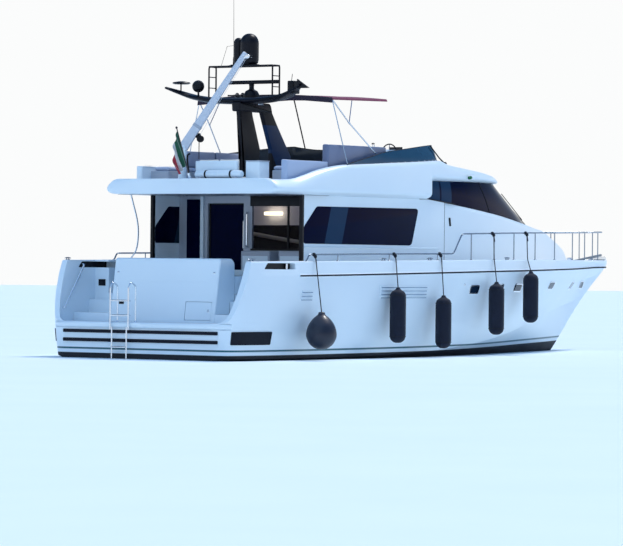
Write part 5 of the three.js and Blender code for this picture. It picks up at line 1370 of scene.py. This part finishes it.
winch = turned([(0, -0.05), (0.07, -0.05), (0.07, -0.04), (0.045, -0.035), (0.045, 0.035),
                (0.07, 0.04), (0.07, 0.05), (0, 0.05)], (0.36, 0, -0.19), (0, 1, 0), 24)
winch_bracket = arcs([(0.33, -0.06), (0.39, -0.06), (0.38, -0.205), (0.34, -0.205)], 0.01, True)
wire = [(0.36, 0, -0.145), (1.3, 0, -0.10), (BOOM - 0.06, 0, -0.075), (BOOM - 0.02, 0, -0.09),
        (BOOM - 0.02, 0, -0.16)]
sheave_plate = arcs([(BOOM - 0.12, -0.03), (BOOM, -0.03), (BOOM + 0.01, -0.11), (BOOM - 0.06, -0.12)], 0.02,
                    True)
piece("crane_arm", {
    boom_white: [boom_part(loft([box_ring(x, d)
                                 for x, d in ((0, -0.02), (0.01, 0), (BOOM - 0.01, 0), (BOOM, -0.012))]))],
    grey: [boom_part(loft([box_ring(JOINT + x, d)
                           for x, d in ((-0.03, 0.001), (-0.025, 0.006), (0.025, 0.006), (0.03, 0.001))])),
           boom_part(turned([(0, -0.0696), (0.03, -0.0696), (0.03, 0.0696), (0, 0.0696)], (0, 0, 0),
                            (0, 1, 0), 24))],
    black: [boom_part(turned([(0, -0.03), (0.07, -0.03), (0.07, -0.02), (0.055, 0), (0.07, 0.02),
                              (0.07, 0.03), (0, 0.03)],
                             (BOOM - 0.03, 0, -0.08), (0, 1, 0), 32)), boom_part(winch),
            *[boom_part(plate(winch_bracket, "xz", y, y + 0.006, 0.001)) for y in (-0.06, 0.054)]],
    stainless: [boom_part(tube(wire, 0.003, 8, 0.04)),
                *[boom_part(plate(sheave_plate, "xz", y, y + 0.006, 0.001)) for y in (-0.056, 0.05)]],
}, body="crane_boom", replaces=["crane_boom"])

# Ensign staff of varnished teak in a stainless socket, and a limp tricolour ensign of woven
# polyester laced along it, its fly hanging down in soft folds.
varnished = coated("varnished_staff", (44, 28, 30), (70, 46, 42), (30, 4, (1, 1, 0.1)), (0.3, 0.15, 20),
                   Coat_Weight=0.5)
STAFF_FOOT, STAFF_HEAD = np.array([1.69, 0, 3.61]), np.array([1.26, 0, 4.56])
along_staff = (STAFF_HEAD - STAFF_FOOT) / np.linalg.norm(STAFF_HEAD - STAFF_FOOT)
piece("staff_turning", {
    varnished: [tube(STAFF_FOOT + along_staff * np.linspace(0, 1.03, 20)[:, None],
                     np.linspace(0.0135, 0.0115, 20), 16),
                turned([(0, 0), (0.016, 0.0), (0.024, 0.014), (0.024, 0.026), (0.014, 0.042), (0, 0.046)],
                       STAFF_HEAD - along_staff * 0.01, along_staff, 24)],
    stainless: [turned([(0.045, -0.03), (0.045, -0.024), (0.03, -0.018), (0.026, 0.08), (0.02, 0.082)],
                       STAFF_FOOT, along_staff, 24)],
}, replaces=["ensign_staff"])


def cloth(name, colour):
    """Woven polyester of one colour, a fifth darker in patches."""
    darker = [level * 0.8 for level in colour]
    return coated(name, colour, darker, (4,), (0.75, 0.15, 260, 2), (0.0004, 1.0, 260, 2), Sheen_Weight=0.3)


def hoist_at(z):
    reach = (z - STAFF_FOOT[2]) / along_staff[2]
    return STAFF_FOOT + along_staff * reach[:, None] - np.array([0.0145, 0, 0])


def flag_part(first, last):
    """A strip of the ensign between two shares of its fly: the upper and lower edges fall along
    curves, p = (1-u)^2 a + 2u(1-u) b + u^2 c, and the cloth between swings to and fro in folds."""
    u, v = np.linspace(first, last, 26)[:, None, None], np.linspace(0, 1, 18)[None, :, None]
    start = hoist_at(4.50 - 0.66 * np.linspace(0, 1, 18))[None]
    middle = np.array([1.10, 0, 4.18]) * (1 - v) + np.array([1.44, 0, 3.72]) * v
    end = np.array([1.20, 0, 3.76]) * (1 - v) + np.array([1.36, 0, 3.645]) * v
    point = (1 - u) ** 2 * start + 2 * u * (1 - u) * middle + u ** 2 * end
    fold = 0.034 * np.sin(2 * np.pi * (2.6 * u + 0.35 * v) + 0.8) * np.minimum(1, u * 5)
    across = point + fold * np.array([0.12, 1, 0])
    return loft(np.concatenate([across + (0, 0.0007, 0), across[:, ::-1] - (0, 0.0007, 0)], 1))


green = cloth("flag_green", (24, 92, 66))
ivory = cloth("flag_white", (214, 214, 214))
red = cloth("flag_red", (176, 44, 60))
flag = piece("ensign_cloth", {
    green: [flag_part(0.0, 1 / 3)], ivory: [flag_part(1 / 3, 2 / 3)], red: [flag_part(2 / 3, 1.0)],
}, replaces=["ensign"], crease=60)

# Boarding ladder: polished tube bent into hand hoops over the platform, flat steps with rubber
# treads, and a lower flight that hangs in the water and folds up on two pins.
LADDER_X, LADDER_Y, LADDER_HALF, LADDER_HINGE, RAIL = 0.022, 0.42, 0.225, 0.60, 0.016
UPPER_STEPS, LOWER_STEPS = (0.85, 1.14), (0.23, -0.07, -0.37)
inner_half = LADDER_HALF - 0.042
hoop = [(0, 0.57), (0, 1.43), (0.08, 1.50), (0.23, 1.44), (0.23, ON_PLATFORM)]
upper_flight = [tube([(LADDER_X + out, LADDER_Y + s * LADDER_HALF, z) for out, z in hoop], RAIL, 16, 0.06)
                for s in (-1, 1)]
upper_flight += [turned([(RAIL, 0.03), (0.036, 0.008), (0.04, 0.0)],
                        (LADDER_X + 0.23, LADDER_Y + s * LADDER_HALF, ON_PLATFORM), sides=24)
                 for s in (-1, 1)]
step_y = (LADDER_Y - LADDER_HALF, LADDER_Y + LADDER_HALF)
upper_flight += [slab(LADDER_X - 0.012, LADDER_X + 0.09, *step_y, z - 0.015, z + 0.011, 0.012, 0.006)
                 for z in UPPER_STEPS]
piece("ladder_hoops", {
    stainless: upper_flight,
    rubber: [slab(LADDER_X - 0.004, LADDER_X + 0.082, step_y[0] + 0.03, step_y[1] - 0.03, z + 0.010,
                  z + 0.015, 0.01, 0.002)
             for z in UPPER_STEPS],
}, replaces=["ladder_upper"])
lower_flight = [tube([(LADDER_X, LADDER_Y + s * inner_half, z) for z in (0.618, 0.3, 0, -0.48)], RAIL, 16)
                for s in (-1, 1)]
lower_flight += [tube([(LADDER_X, LADDER_Y + s * (inner_half - 0.004), LADDER_HINGE),
                       (LADDER_X, LADDER_Y + s * (LADDER_HALF - RAIL - GAP), LADDER_HINGE)], 0.008, 12)
                 for s in (-1, 1)]
lower_flight += [slab(LADDER_X - 0.05, LADDER_X + 0.032, LADDER_Y - inner_half, LADDER_Y + inner_half,
                      z - 0.014, z + 0.010, 0.012, 0.006) for z in LOWER_STEPS]
piece("ladder_flight", {
    stainless: lower_flight,
    rubber: [slab(LADDER_X - 0.044, LADDER_X + 0.026, LADDER_Y - 0.15, LADDER_Y + 0.15, z + 0.009,
                  z + 0.014, 0.01, 0.002)
             for z in LOWER_STEPS]
    + [turned([(0, -0.492), (0.018, -0.49), (0.018, -0.455), (RAIL, -0.452)],
              (LADDER_X, LADDER_Y + s * inner_half, 0), sides=16)
       for s in (-1, 1)],
}, body="ladder_lower", replaces=["ladder_lower"])


# Rails: bent stainless tube on posts with screwed round bases. A low one stands on each
# bulwark and runs on into a high one on upright posts round the bow.
def rail_point(x, rise):
    return np.array([x, lines_at(x, SHEER_Y) - 0.055, lines_at(x, SHEER_Z) + rise])


def base(x):
    at, radius = rail_point(x, 0.0), 0.034
    return turned([(radius, -0.004), (radius, 0.004), (radius * 0.8, 0.010), (radius * 0.45, 0.013)], at,
                  sides=20)


rail_steel = Finish("rail_steel", Metallic=1.0, Base_Color=tint(136, 147, 160))
rail_steel.feed(Roughness=0.16 + rail_steel.noise(18, 4, (6, 1, 1)) * 0.14)
SIDE_RAIL = np.array([2.44, 3.4, 4.3, 5.2, 6.1, 7.0, 7.55])
BOW_RAIL = np.array([8.36, 9.34, 10.27, 11.36, 12.52, 13.8, 15.0, 16.1, 16.84])
side_run = np.array([rail_point(2.35, 0.0), *[rail_point(x, 0.13) for x in SIDE_RAIL]])
side_posts = [tube([rail_point(x, 0.0), rail_point(x, 0.13)], 0.011, 12) for x in SIDE_RAIL[1:-1:2]]
side_bases = [base(x) for x in (2.35, 3.4, 5.2, 7.0)]
for side, hand in HANDS:
    piece(f"side_rail_tube_{side}",
          {rail_steel: [hand(skin) for skin in (tube(side_run, RAIL, 14, 0.06), *side_posts, *side_bases)]},
          replaces=[f"side_rail_{side}"])
bow_top = np.array([rail_point(x, 0.545 + 0.095 * (x - 8.15) / 8.75) for x in BOW_RAIL])
half_loop = np.array([rail_point(7.55, 0.13), rail_point(7.64, 0.14), rail_point(7.97, 0.54), *bow_top,
                      (17.18, 0.15, 2.705), (17.30, 0.06, 2.708)])
loop = np.concatenate([half_loop, half_loop[::-1] * (1, -1, 1)])
bow_posts = [tube([rail_point(x, -0.002), top], 0.012, 12) for x, top in zip(BOW_RAIL, bow_top)]
bow_bases = [base(x) for x in BOW_RAIL]
piece("bow_rail_tube", {rail_steel: [tube(loop, RAIL, 14, 0.09), *both(*bow_posts, *bow_bases)]},
      replaces=["bow_rail"])

# Anchor gear: a galvanised plough anchor stowed on its roller at the stem head, chain back to
# a windlass with a gypsy and a warping drum, and the plate that they stand on.
steel = coated("galvanised_steel", (168, 172, 176), (128, 132, 138), (14, 5), (0.42, 0.25, 30, 4),
               (0.0012, 1.0, 60, 4), Metallic=0.85)
DECK_GAP = FOREDECK + GAP
shank = plate(arcs([(16.08, 2.00), (17.40, 2.155), (17.42, 2.19), (17.38, 2.205), (16.10, 2.045)],
                   0.012, True), "xz",
              -0.016, 0.016, 0.006)
fluke_rings = []
for share in np.linspace(0, 1, 14):
    half, drop = 0.015 + 0.13 * math.sin(math.pi * min(share * 0.62 + 0.03, 0.5)) * share, 0.09 * share
    centre = np.array([17.60 - 0.36 * share, 0, 2.06 + 0.035 * share])
    fluke_rings.append([centre + (0, -half, -drop * 0.2), centre + (0, -half * 0.5, -drop - 0.03),
                        centre + (0, 0, -drop - 0.055), centre + (0, half * 0.5, -drop - 0.03),
                        centre + (0, half, -drop * 0.2),
                        centre + (0, half * 0.5, -drop - 0.018), centre + (0, 0, -drop - 0.04),
                        centre + (0, -half * 0.5, -drop - 0.018)])
link_t = np.linspace(0, 2 * np.pi, 16, endpoint=False)
chain = []
for k, x in enumerate(np.arange(16.16, 16.98, 0.042)):
    flat, tall = 0.028 * np.cos(link_t), 0.013 * np.sin(link_t)
    z = 2.02 + 0.008 * math.sin(k * 0.8)
    points = [(x + a, b if k % 2 else 0, z + (0 if k % 2 else b)) for a, b in zip(flat, tall)]
    chain.append(tube(points, 0.0045, 8, closed=True))
windlass = [(0.0, 0.02), (0.088, 0.02), (0.09, 0.03), (0.09, 0.06), (0.078, 0.075), (0.055, 0.09),
            (0.052, 0.11), (0.062, 0.15), (0.08, 0.165), (0.08, 0.172), (0.03, 0.18), (0.0, 0.18)]
piece("anchor_and_windlass", {
    stainless: [slab(16.0, 17.0, -0.045, 0.045, DECK_GAP, DECK_GAP + 0.012, 0.02, 0.003),
                plate(arcs([(16.9, -0.045), (17.56, -0.045), (17.56, 0.045), (16.9, 0.045)], 0.01, True),
                      "xy", 2.072, 2.084, 0.002),
                *both(plate(arcs([(16.94, 2.07), (17.52, 2.07), (17.56, 2.11), (17.50, 2.15), (17.2, 2.125),
                                  (16.98, 2.11)],
                                 0.02, True), "xz", 0.039, 0.045, 0.002)),
                slab(16.9, 16.99, -0.045, 0.045, DECK_GAP, 2.075, 0.01, 0.003),
                turned([(z[0], z[1] + DECK_GAP) for z in windlass], (16.03, 0, 0), sides=36)],
    steel: [shank, loft(fluke_rings), *chain],
    rubber: [turned([(0, -0.036), (0.03, -0.036), (0.014, 0), (0.03, 0.036), (0, 0.036)], (17.50, 0, 2.105),
                    (0, 1, 0), 24)],
}, replaces=["anchor_gear"])

# Deck hatch: an acrylic lid in a welded alloy frame, with two hinges aft and two handles. It
# lies in a shallow recess of the deckhouse that leaves room for its swing.
piece("hatch_lid", {
    grey: [lid_part(slab(0.006, reach, -0.27, 0.27, 0.0, 0.020, 0.05, 0.006))],
    door_tint: [lid_part(slab(0.045, reach - 0.04, -0.23, 0.23, 0.017, 0.026, 0.04, 0.003))],
    stainless: [lid_part(slab(0.004, 0.05, y - 0.02, y + 0.02, 0.018, 0.028, 0.01, 0.004))
                for y in (-0.16, 0.16)],
    black: [lid_part(turned([(0.02, 0.024), (0.02, 0.030), (0.012, 0.033), (0, 0.034)],
                            (reach - 0.09, y, 0), sides=20))
            for y in (-0.16, 0.16)],
}, body="deck_hatch", replaces=["deck_hatch"], crease=30)

# Fenders: inflated vinyl cylinders in knitted navy covers, and one pear-shaped buoy; each
# hangs from a rail by a black polyester line with a hitch round the rail.
knit = coated("navy_knit", (7, 16, 34), (14, 27, 50), (7, 5), (0.78, 0.15, 40), Sheen_Weight=0.05)
ribs = knit.node("ShaderNodeTexWave", {"wave_type": "BANDS", "bands_direction": "Z"},
                 Vector=knit.place(), Scale=28.0)
knit.bump(ribs * 0.5 + knit.noise(200, 2) * 0.5, 0.0012)
vinyl = coated("navy_vinyl_buoy", (10, 19, 38), (20, 32, 56), (4, 5), (0.36, 0.25, 9, 4),
               (0.0008, 1.0, 30, 3), Coat_Weight=0.15)
rope = coated("black_rope", (8, 12, 24), (22, 28, 42), (120, 2), (0.85, 0.1, 50), Sheen_Weight=0.1)
FENDERS, FENDER = [(5.20, 0.32, 1.41), (6.88, 0.19, 1.25), (9.08, 0.45, 1.53), (10.80, 0.69, 1.76)], 0.165
LINE = 0.0105
HITCHES = {2.45: 2.60, 5.20: 5.37, 6.88: 7.08, 9.08: 9.26, 10.80: 10.86}
DRIFT = {2.45: -0.13, 5.20: -0.06, 6.88: -0.04, 9.08: -0.06, 10.80: -0.12}


def fender_line(x, y, foot):
    """The line from the fender's eye, over the sheer to the rail, with three turns round the rail."""
    ahead = HITCHES[x]
    x += DRIFT[x]
    run = side_run if x < 7.8 else half_loop
    rail = np.array([ahead, -np.interp(ahead, run[:, 0], run[:, 1]), np.interp(ahead, run[:, 0], run[:, 2])])
    edge = np.array([ahead - 0.03, -(lines_at(ahead, SHEER_Y) + 0.016), lines_at(ahead, SHEER_Z) + 0.012])
    a = np.linspace(0, 6 * np.pi, 40)
    hitch = rail + np.stack([0.019 * (a / (3 * np.pi) - 1), -0.027 * np.cos(a), 0.027 * np.sin(a)], -1)
    knot = rail + (0.0, -0.034, -0.035)
    knot_t = np.linspace(-1, 1, 12)
    knot_profile = np.stack([0.034 * np.sqrt(np.maximum(1 - knot_t ** 2, 0)), 0.042 * knot_t], -1)
    tail = [knot, knot + (0.012, -0.012, -0.07), knot + (0.02, -0.016, -0.14)]
    return [tube([(x, y, foot), edge, knot], LINE, 10, 0.05), tube(hitch, LINE, 8),
            turned(knot_profile, knot, sides=14), tube(tail, 0.8 * LINE, 8, 0.03)]


for number, (x, low, high) in enumerate(FENDERS):
    y = -(max(lines_at(x, SHEER_Y), lines_at(x, RUB_Y)) + FENDER + 0.015)
    r, at = FENDER, x + DRIFT[x]
    body = arcs([(0, low), (r * 0.42, low + 0.004), (r * 0.88, low + 0.06), (r, low + 0.15),
                 (r, high - 0.15), (r * 0.86, high - 0.06), (r * 0.32, high - 0.012),
                 (r * 0.24, high + 0.03), (0, high + 0.04)], 0.05, steps=6)
    seam_at = [turned([(r + 0.0005, z - 0.008), (r + 0.004, z - 0.004), (r + 0.004, z + 0.004),
                       (r + 0.0005, z + 0.008)],
                      (at, y, 0), sides=36) for z in (low + 0.13, high - 0.13)]
    piece(f"fender_cover_{number + 2}", {knit: [turned(body, (at, y, 0), sides=36)],
                                         rope: seam_at + fender_line(x, y, high + 0.03)},
          replaces=[f"fender_{number + 2}"])
buoy_x = 2.45
buoy_y = -(max(lines_at(buoy_x, SHEER_Y), lines_at(buoy_x, RUB_Y)) + 0.315)
buoy = arcs([(0, 0.22), (0.12, 0.235), (0.235, 0.32), (0.302, 0.46), (0.302, 0.56),
             (0.262, 0.70), (0.17, 0.83), (0.075, 0.90), (0.055, 0.955), (0, 0.96)], 0.07, steps=6)
piece("fender_buoy", {
    vinyl: [turned(buoy, (buoy_x + DRIFT[buoy_x], buoy_y, 0), sides=56),
            turned([(0.05, 0.88), (0.066, 0.885), (0.066, 0.94), (0.05, 0.955)],
                   (buoy_x + DRIFT[buoy_x], buoy_y, 0), sides=28)],
    rope: fender_line(buoy_x, buoy_y, 0.95),
}, replaces=["fender_1"])

# Running gear: polished shafts in bronze brackets, four-bladed bronze propellers of opposite
# hand with twisted foil blades, and foil rudders on round stocks.
bronze = coated("bronze", (176, 138, 78), (116, 92, 60), (7, 6), (0.34, 0.3, 16, 5),
                (0.001, 1.0, 40, 4), Metallic=0.9)
PROP_AT, PROP_TILT = np.array([1.38, SHAFT_Y, -0.946]), math.radians(9.6)
shaft_way = np.array([math.cos(PROP_TILT), 0, math.sin(PROP_TILT)])


def along_shaft(reach):
    return PROP_AT + shaft_way * reach


strut_foot = [along_shaft(r)[[0, 2]] for r in (0.265, 0.41)]
bearing = [(0.045, 0.22), (0.056, 0.225), (0.06, 0.25), (0.06, 0.45), (0.056, 0.475), (0.045, 0.48)]
shaft = tube([along_shaft(0.0854), along_shaft(1.5), along_shaft(3.28)], 0.038, 24)
bush = turned(bearing, PROP_AT, shaft_way, 32)
strut = plate(arcs([*strut_foot, (1.93, -0.50), (1.71, -0.50)], 0.02, True), "xz", SHAFT_Y - 0.013,
              SHAFT_Y + 0.013, 0.01)
for side, hand in HANDS:
    piece(f"shaft_line_{side}", {stainless: [hand(shaft)], bronze: [hand(bush), hand(strut)]},
          replaces=[f"shaft_{side}"])
BLADE = np.array([[0.045, 0.15, 62], [0.13, 0.21, 54], [0.22, 0.22, 46], [0.29, 0.16, 40], [0.33, 0.06, 36]])


def blade(quarter):
    """Foil sections from hub to tip: for each radius an ellipse of the chord's length, thinner to the
    tip, turned by the pitch angle and set round the hub."""
    r = np.linspace(0.045, 0.33, 26)
    a = np.linspace(0, 2 * np.pi, 24, endpoint=False)[None, :]
    chord, pitch = fair(BLADE, r, 1)[:, None], np.radians(fair(BLADE, r, 2))[:, None]
    tip = np.sqrt(np.clip(1 - ((r - 0.045) / 0.2855) ** 6, 0.02, 1))[:, None]
    u, v = chord * tip * np.cos(a) / 2, (0.009 - 0.006 * (r[:, None] - 0.045) / 0.285) * np.sin(a)
    local = np.stack([u * np.sin(pitch) + v * np.cos(pitch), u * np.cos(pitch) - v * np.sin(pitch),
                      np.broadcast_to(r[:, None], u.shape)], -1)
    cq, sq = math.cos(quarter), math.sin(quarter)
    return loft(local @ np.array([[1, 0, 0], [0, cq, -sq], [0, sq, cq]]).T)


hub = [(0, -0.125), (0.02, -0.12), (0.042, -0.095), (0.052, -0.085), (0.057, 0.0),
       (0.062, 0.085), (0, 0.085)]
tilt = np.array([[math.cos(PROP_TILT), 0, -math.sin(PROP_TILT)], [0, 1, 0],
                 [math.sin(PROP_TILT), 0, math.cos(PROP_TILT)]])
wheel = [moved(skin, tilt, PROP_AT) for skin in (turned(hub, (0, 0, 0), (1, 0, 0), 32),
                                                 *[blade(q) for q in np.radians([0, 90, 180, 270])])]
rudder_plan = arcs([(0.56, -0.64), (0.90, -0.65), (0.93, -1.18), (0.86, -1.29), (0.59, -1.29)],
                   0.03, True, 6)
swing = np.linspace(-np.pi / 2, np.pi / 2, 15)
rudder_blade = loft([np.stack([0.745 + (rudder_plan[:, 0] - 0.745) * s,
                               np.full(len(rudder_plan), SHAFT_Y + t * 0.023),
                               -0.965 + (rudder_plan[:, 1] + 0.965) * s], -1)
                     for t, s in zip(np.sin(swing), 0.55 + 0.45 * np.cos(swing) ** 0.6)])
stock = tube([(0.76, SHAFT_Y, -0.75), (0.76, SHAFT_Y, -0.5604)], 0.03, 24)
for side, hand in HANDS:
    piece(f"propeller_casting_{side}", {bronze: [hand(skin) for skin in wheel]}, body=f"propeller_{side}",
          replaces=[f"propeller_{side}"])
    piece(f"rudder_casting_{side}", {bronze: [hand(rudder_blade), hand(stock)]}, body=f"rudder_{side}",
          replaces=[f"rudder_{side}"])
iron = coated("engine_paint", (214, 216, 214), (176, 180, 180), (4, 4), (0.5, 0.2, 20), Coat_Weight=0.1)
repaint(iron, "engine_port", "engine_starboard")


# Deck fittings: cast stainless cleats, black fairleads with a roller in each stern wing, boxes on
# the passages' end walls, handrails and the bent strut under the overhang's port corner.
def cleat(at, turn=0.0):
    """A horn cleat: a foot plate, two legs and a bar with drooping ends."""
    a = np.linspace(-1, 1, 17)
    bar = tube(np.stack([0.11 * a, 0 * a, 0.042 - 0.008 * a ** 4], -1), 0.013 - 0.006 * a ** 2, 12)
    parts = [bar, slab(-0.07, 0.07, -0.02, 0.02, 0.0, 0.008, 0.018, 0.003),
             *[turned([(0.018, 0.0), (0.012, 0.012), (0.011, 0.042)], (x, 0, 0), sides=16)
               for x in (-0.04, 0.04)]]
    c, s = math.cos(turn), math.sin(turn)
    return [moved(part, np.array([[c, -s, 0], [s, c, 0], [0, 0, 1]]), at) for part in parts]


cleats = [part for x in (4.97, 6.69, 9.92) for part in cleat(rail_point(x, 0.0) + (0, 0.01, 0))]
cleats += cleat((0.70, 2.285, 1.932), 0.12)
piece("deck_fittings", {
    rail_steel: both(*cleats),
    black: both(plate(arcs(FAIRLEAD, 0.03, True), "xz", 2.26, 2.33),
                slab(1.482, 1.502, 1.95, 2.12, 1.42, 1.55, 0.004, 0.004)),
    stainless: [tube([(2.36, 2.0, 3.272), (2.63, 2.0, 2.64), (2.79, 2.16, 2.16), (2.86, 2.40, 1.96)],
                     0.016, 14, 0.25),
                turned([(0.04, 0), (0.04, 0.008), (0.02, 0.012)], (2.36, 2.0, 3.272), (0, 0, -1), 20),
                *both(tube([(1.75, 2.362, 1.79), (1.75, 2.362, 1.90)], 0.028, 14))],
})
piece("wing_handrails", {stainless: both(
    tube([(1.08, 2.219, 1.85), (1.08, 2.165, 1.84), (0.45, 2.155, 0.98), (0.45, 2.20, 0.97)],
         0.020, 14, 0.04),
)})

# Louvres: three slots by the cockpit, and the engine room's long ventilators with pressed
# blades in a raised frame.
# Grey-blue strips under each blade are painted shadow in the slots.
slot_shade = coated("painted_slot_shadow", (124, 152, 180), (104, 132, 162), (3,), Roughness=0.8)
slots = [(2.09 + 0.012 * k, 2.46 + 0.012 * k, 1.205 + 0.075 * k) for k in range(3)]
long_slots = [(4.82, 6.54, z) for z in (1.245, 1.315, 1.385, 1.455)]
vents = [on_side(box_outline(x0, x1, z - 0.009, z + 0.017, 0.008, 0.01), -0.004, 0.022, 0.006)
         for x0, x1, z in slots + long_slots]
shadows = [on_side(box_outline(x0 + 0.01, x1 - 0.01, z - 0.024, z - 0.009, 0.006, 0.0), -0.004, 0.003)
           for x0, x1, z in slots + long_slots]
surround = on_side(box_outline(4.76, 6.60, 1.205, 1.495, 0.03), -0.004, 0.006, 0.004)
piece("side_louvres", {white: [*both(*vents), *both(surround)],
                       slot_shade: both(*[moved(skin, None, (0, -0.005, 0)) for skin in shadows])})

# Portlights: oblong panes of dark glass in bright frames, three amidships and three forward on
# either side, with a small skin fitting by the first.
PORTLIGHTS = [(8.47, 1.40, 0.44), (9.60, 1.43, 0.44), (10.58, 1.435, 0.44), (12.68, 1.48, 0.42),
              (14.75, 1.48, 0.40), (16.20, 1.487, 0.34)]
frames, panes = [], []
for x, z, wide_by in PORTLIGHTS:
    outer_line = box_outline(x - wide_by / 2, x + wide_by / 2, z - 0.095, z + 0.095, 0.07, 0.02)
    inner_line = box_outline(x - wide_by / 2 + 0.03, x + wide_by / 2 - 0.03, z - 0.068,
                             z + 0.068, 0.05, 0.014)
    for hand in (-1, 1):
        frames.append(on_side(outer_line, -0.01, 0.010, 0.006, hand, 3))
        panes.append(on_side(inner_line, -0.004, 0.0125, 0.002, hand, 3))
portlight_tint = coated("portlight_tint", (10, 20, 36), (30, 50, 70), (2,), (0.04, 0.05, 3), IOR=1.45)
piece("portlights", {
    stainless: frames + [on_side(box_outline(8.0, 8.06, 1.47, 1.53, 0.028), -0.004, 0.012, 0.006, hand)
                         for hand in (-1, 1)],
    portlight_tint: panes,
})

# Small gear of the flying bridge: a black rod with its bulb by the wind deflector, a pale dome,
# a lamp on a post and a bent bracket beside the crane, side lights and deck sockets.
lamp_red, lamp_green = (coated(name, *shades, (5,), (0.2, 0.1, 9)) for name, shades in (
    ("lamp_red", ((170, 24, 30), (140, 18, 26))), ("lamp_green", ((20, 120, 70), (16, 96, 58)))))
lamp = [(0.0, 0.0), (0.035, 0.0), (0.035, 0.055), (0.028, 0.07), (0.0, 0.075)]
piece("bridge_fittings", {
    black: [tube([(7.50, -1.86, 4.38), (7.80, -1.885, 4.14), (8.0, -1.90, 4.02)], 0.014, 12),
            turned([(0, -0.035), (0.03, -0.02), (0.038, 0.0), (0.03, 0.02), (0, 0.035)],
                   (8.0, -1.90, 4.03), sides=20),
            tube([(2.3, 0.23, 3.98), (2.3, 0.23, 4.42)], 0.009, 10),
            turned([(0.0, 0.0), (0.03, 0.005), (0.036, 0.03), (0.036, 0.07), (0.02, 0.085), (0, 0.088)],
                   (2.3, 0.23, 4.41), sides=20),
            tube([(1.95, 0.2, 3.6), (1.88, 0.2, 3.92), (1.88, 0.2, 4.05), (1.95, 0.2, 4.07)],
                 0.02, 12, 0.04)],
    white: [turned([(0.0, 0.0), (0.13, 0.0), (0.15, 0.03), (0.14, 0.09), (0.09, 0.15), (0.0, 0.17)],
                   (7.22, -1.7, 4.14), sides=32)],
    lamp_red: [turned(lamp, (8.9, 1.905, 3.75), (0, 1, 0.1), 20)],
    lamp_green: [turned(lamp, (8.9, -1.905, 3.75), (0, -1, 0.1), 20)],
    stainless: [turned([(0.03, 0.0), (0.034, 0.005), (0.034, 0.015), (0.02, 0.02)],
                       (x, y, FLY_DECK), sides=20)
                for x, y in ((2.45, 0.9), (2.45, -0.95), (6.9, 0.0))],
})
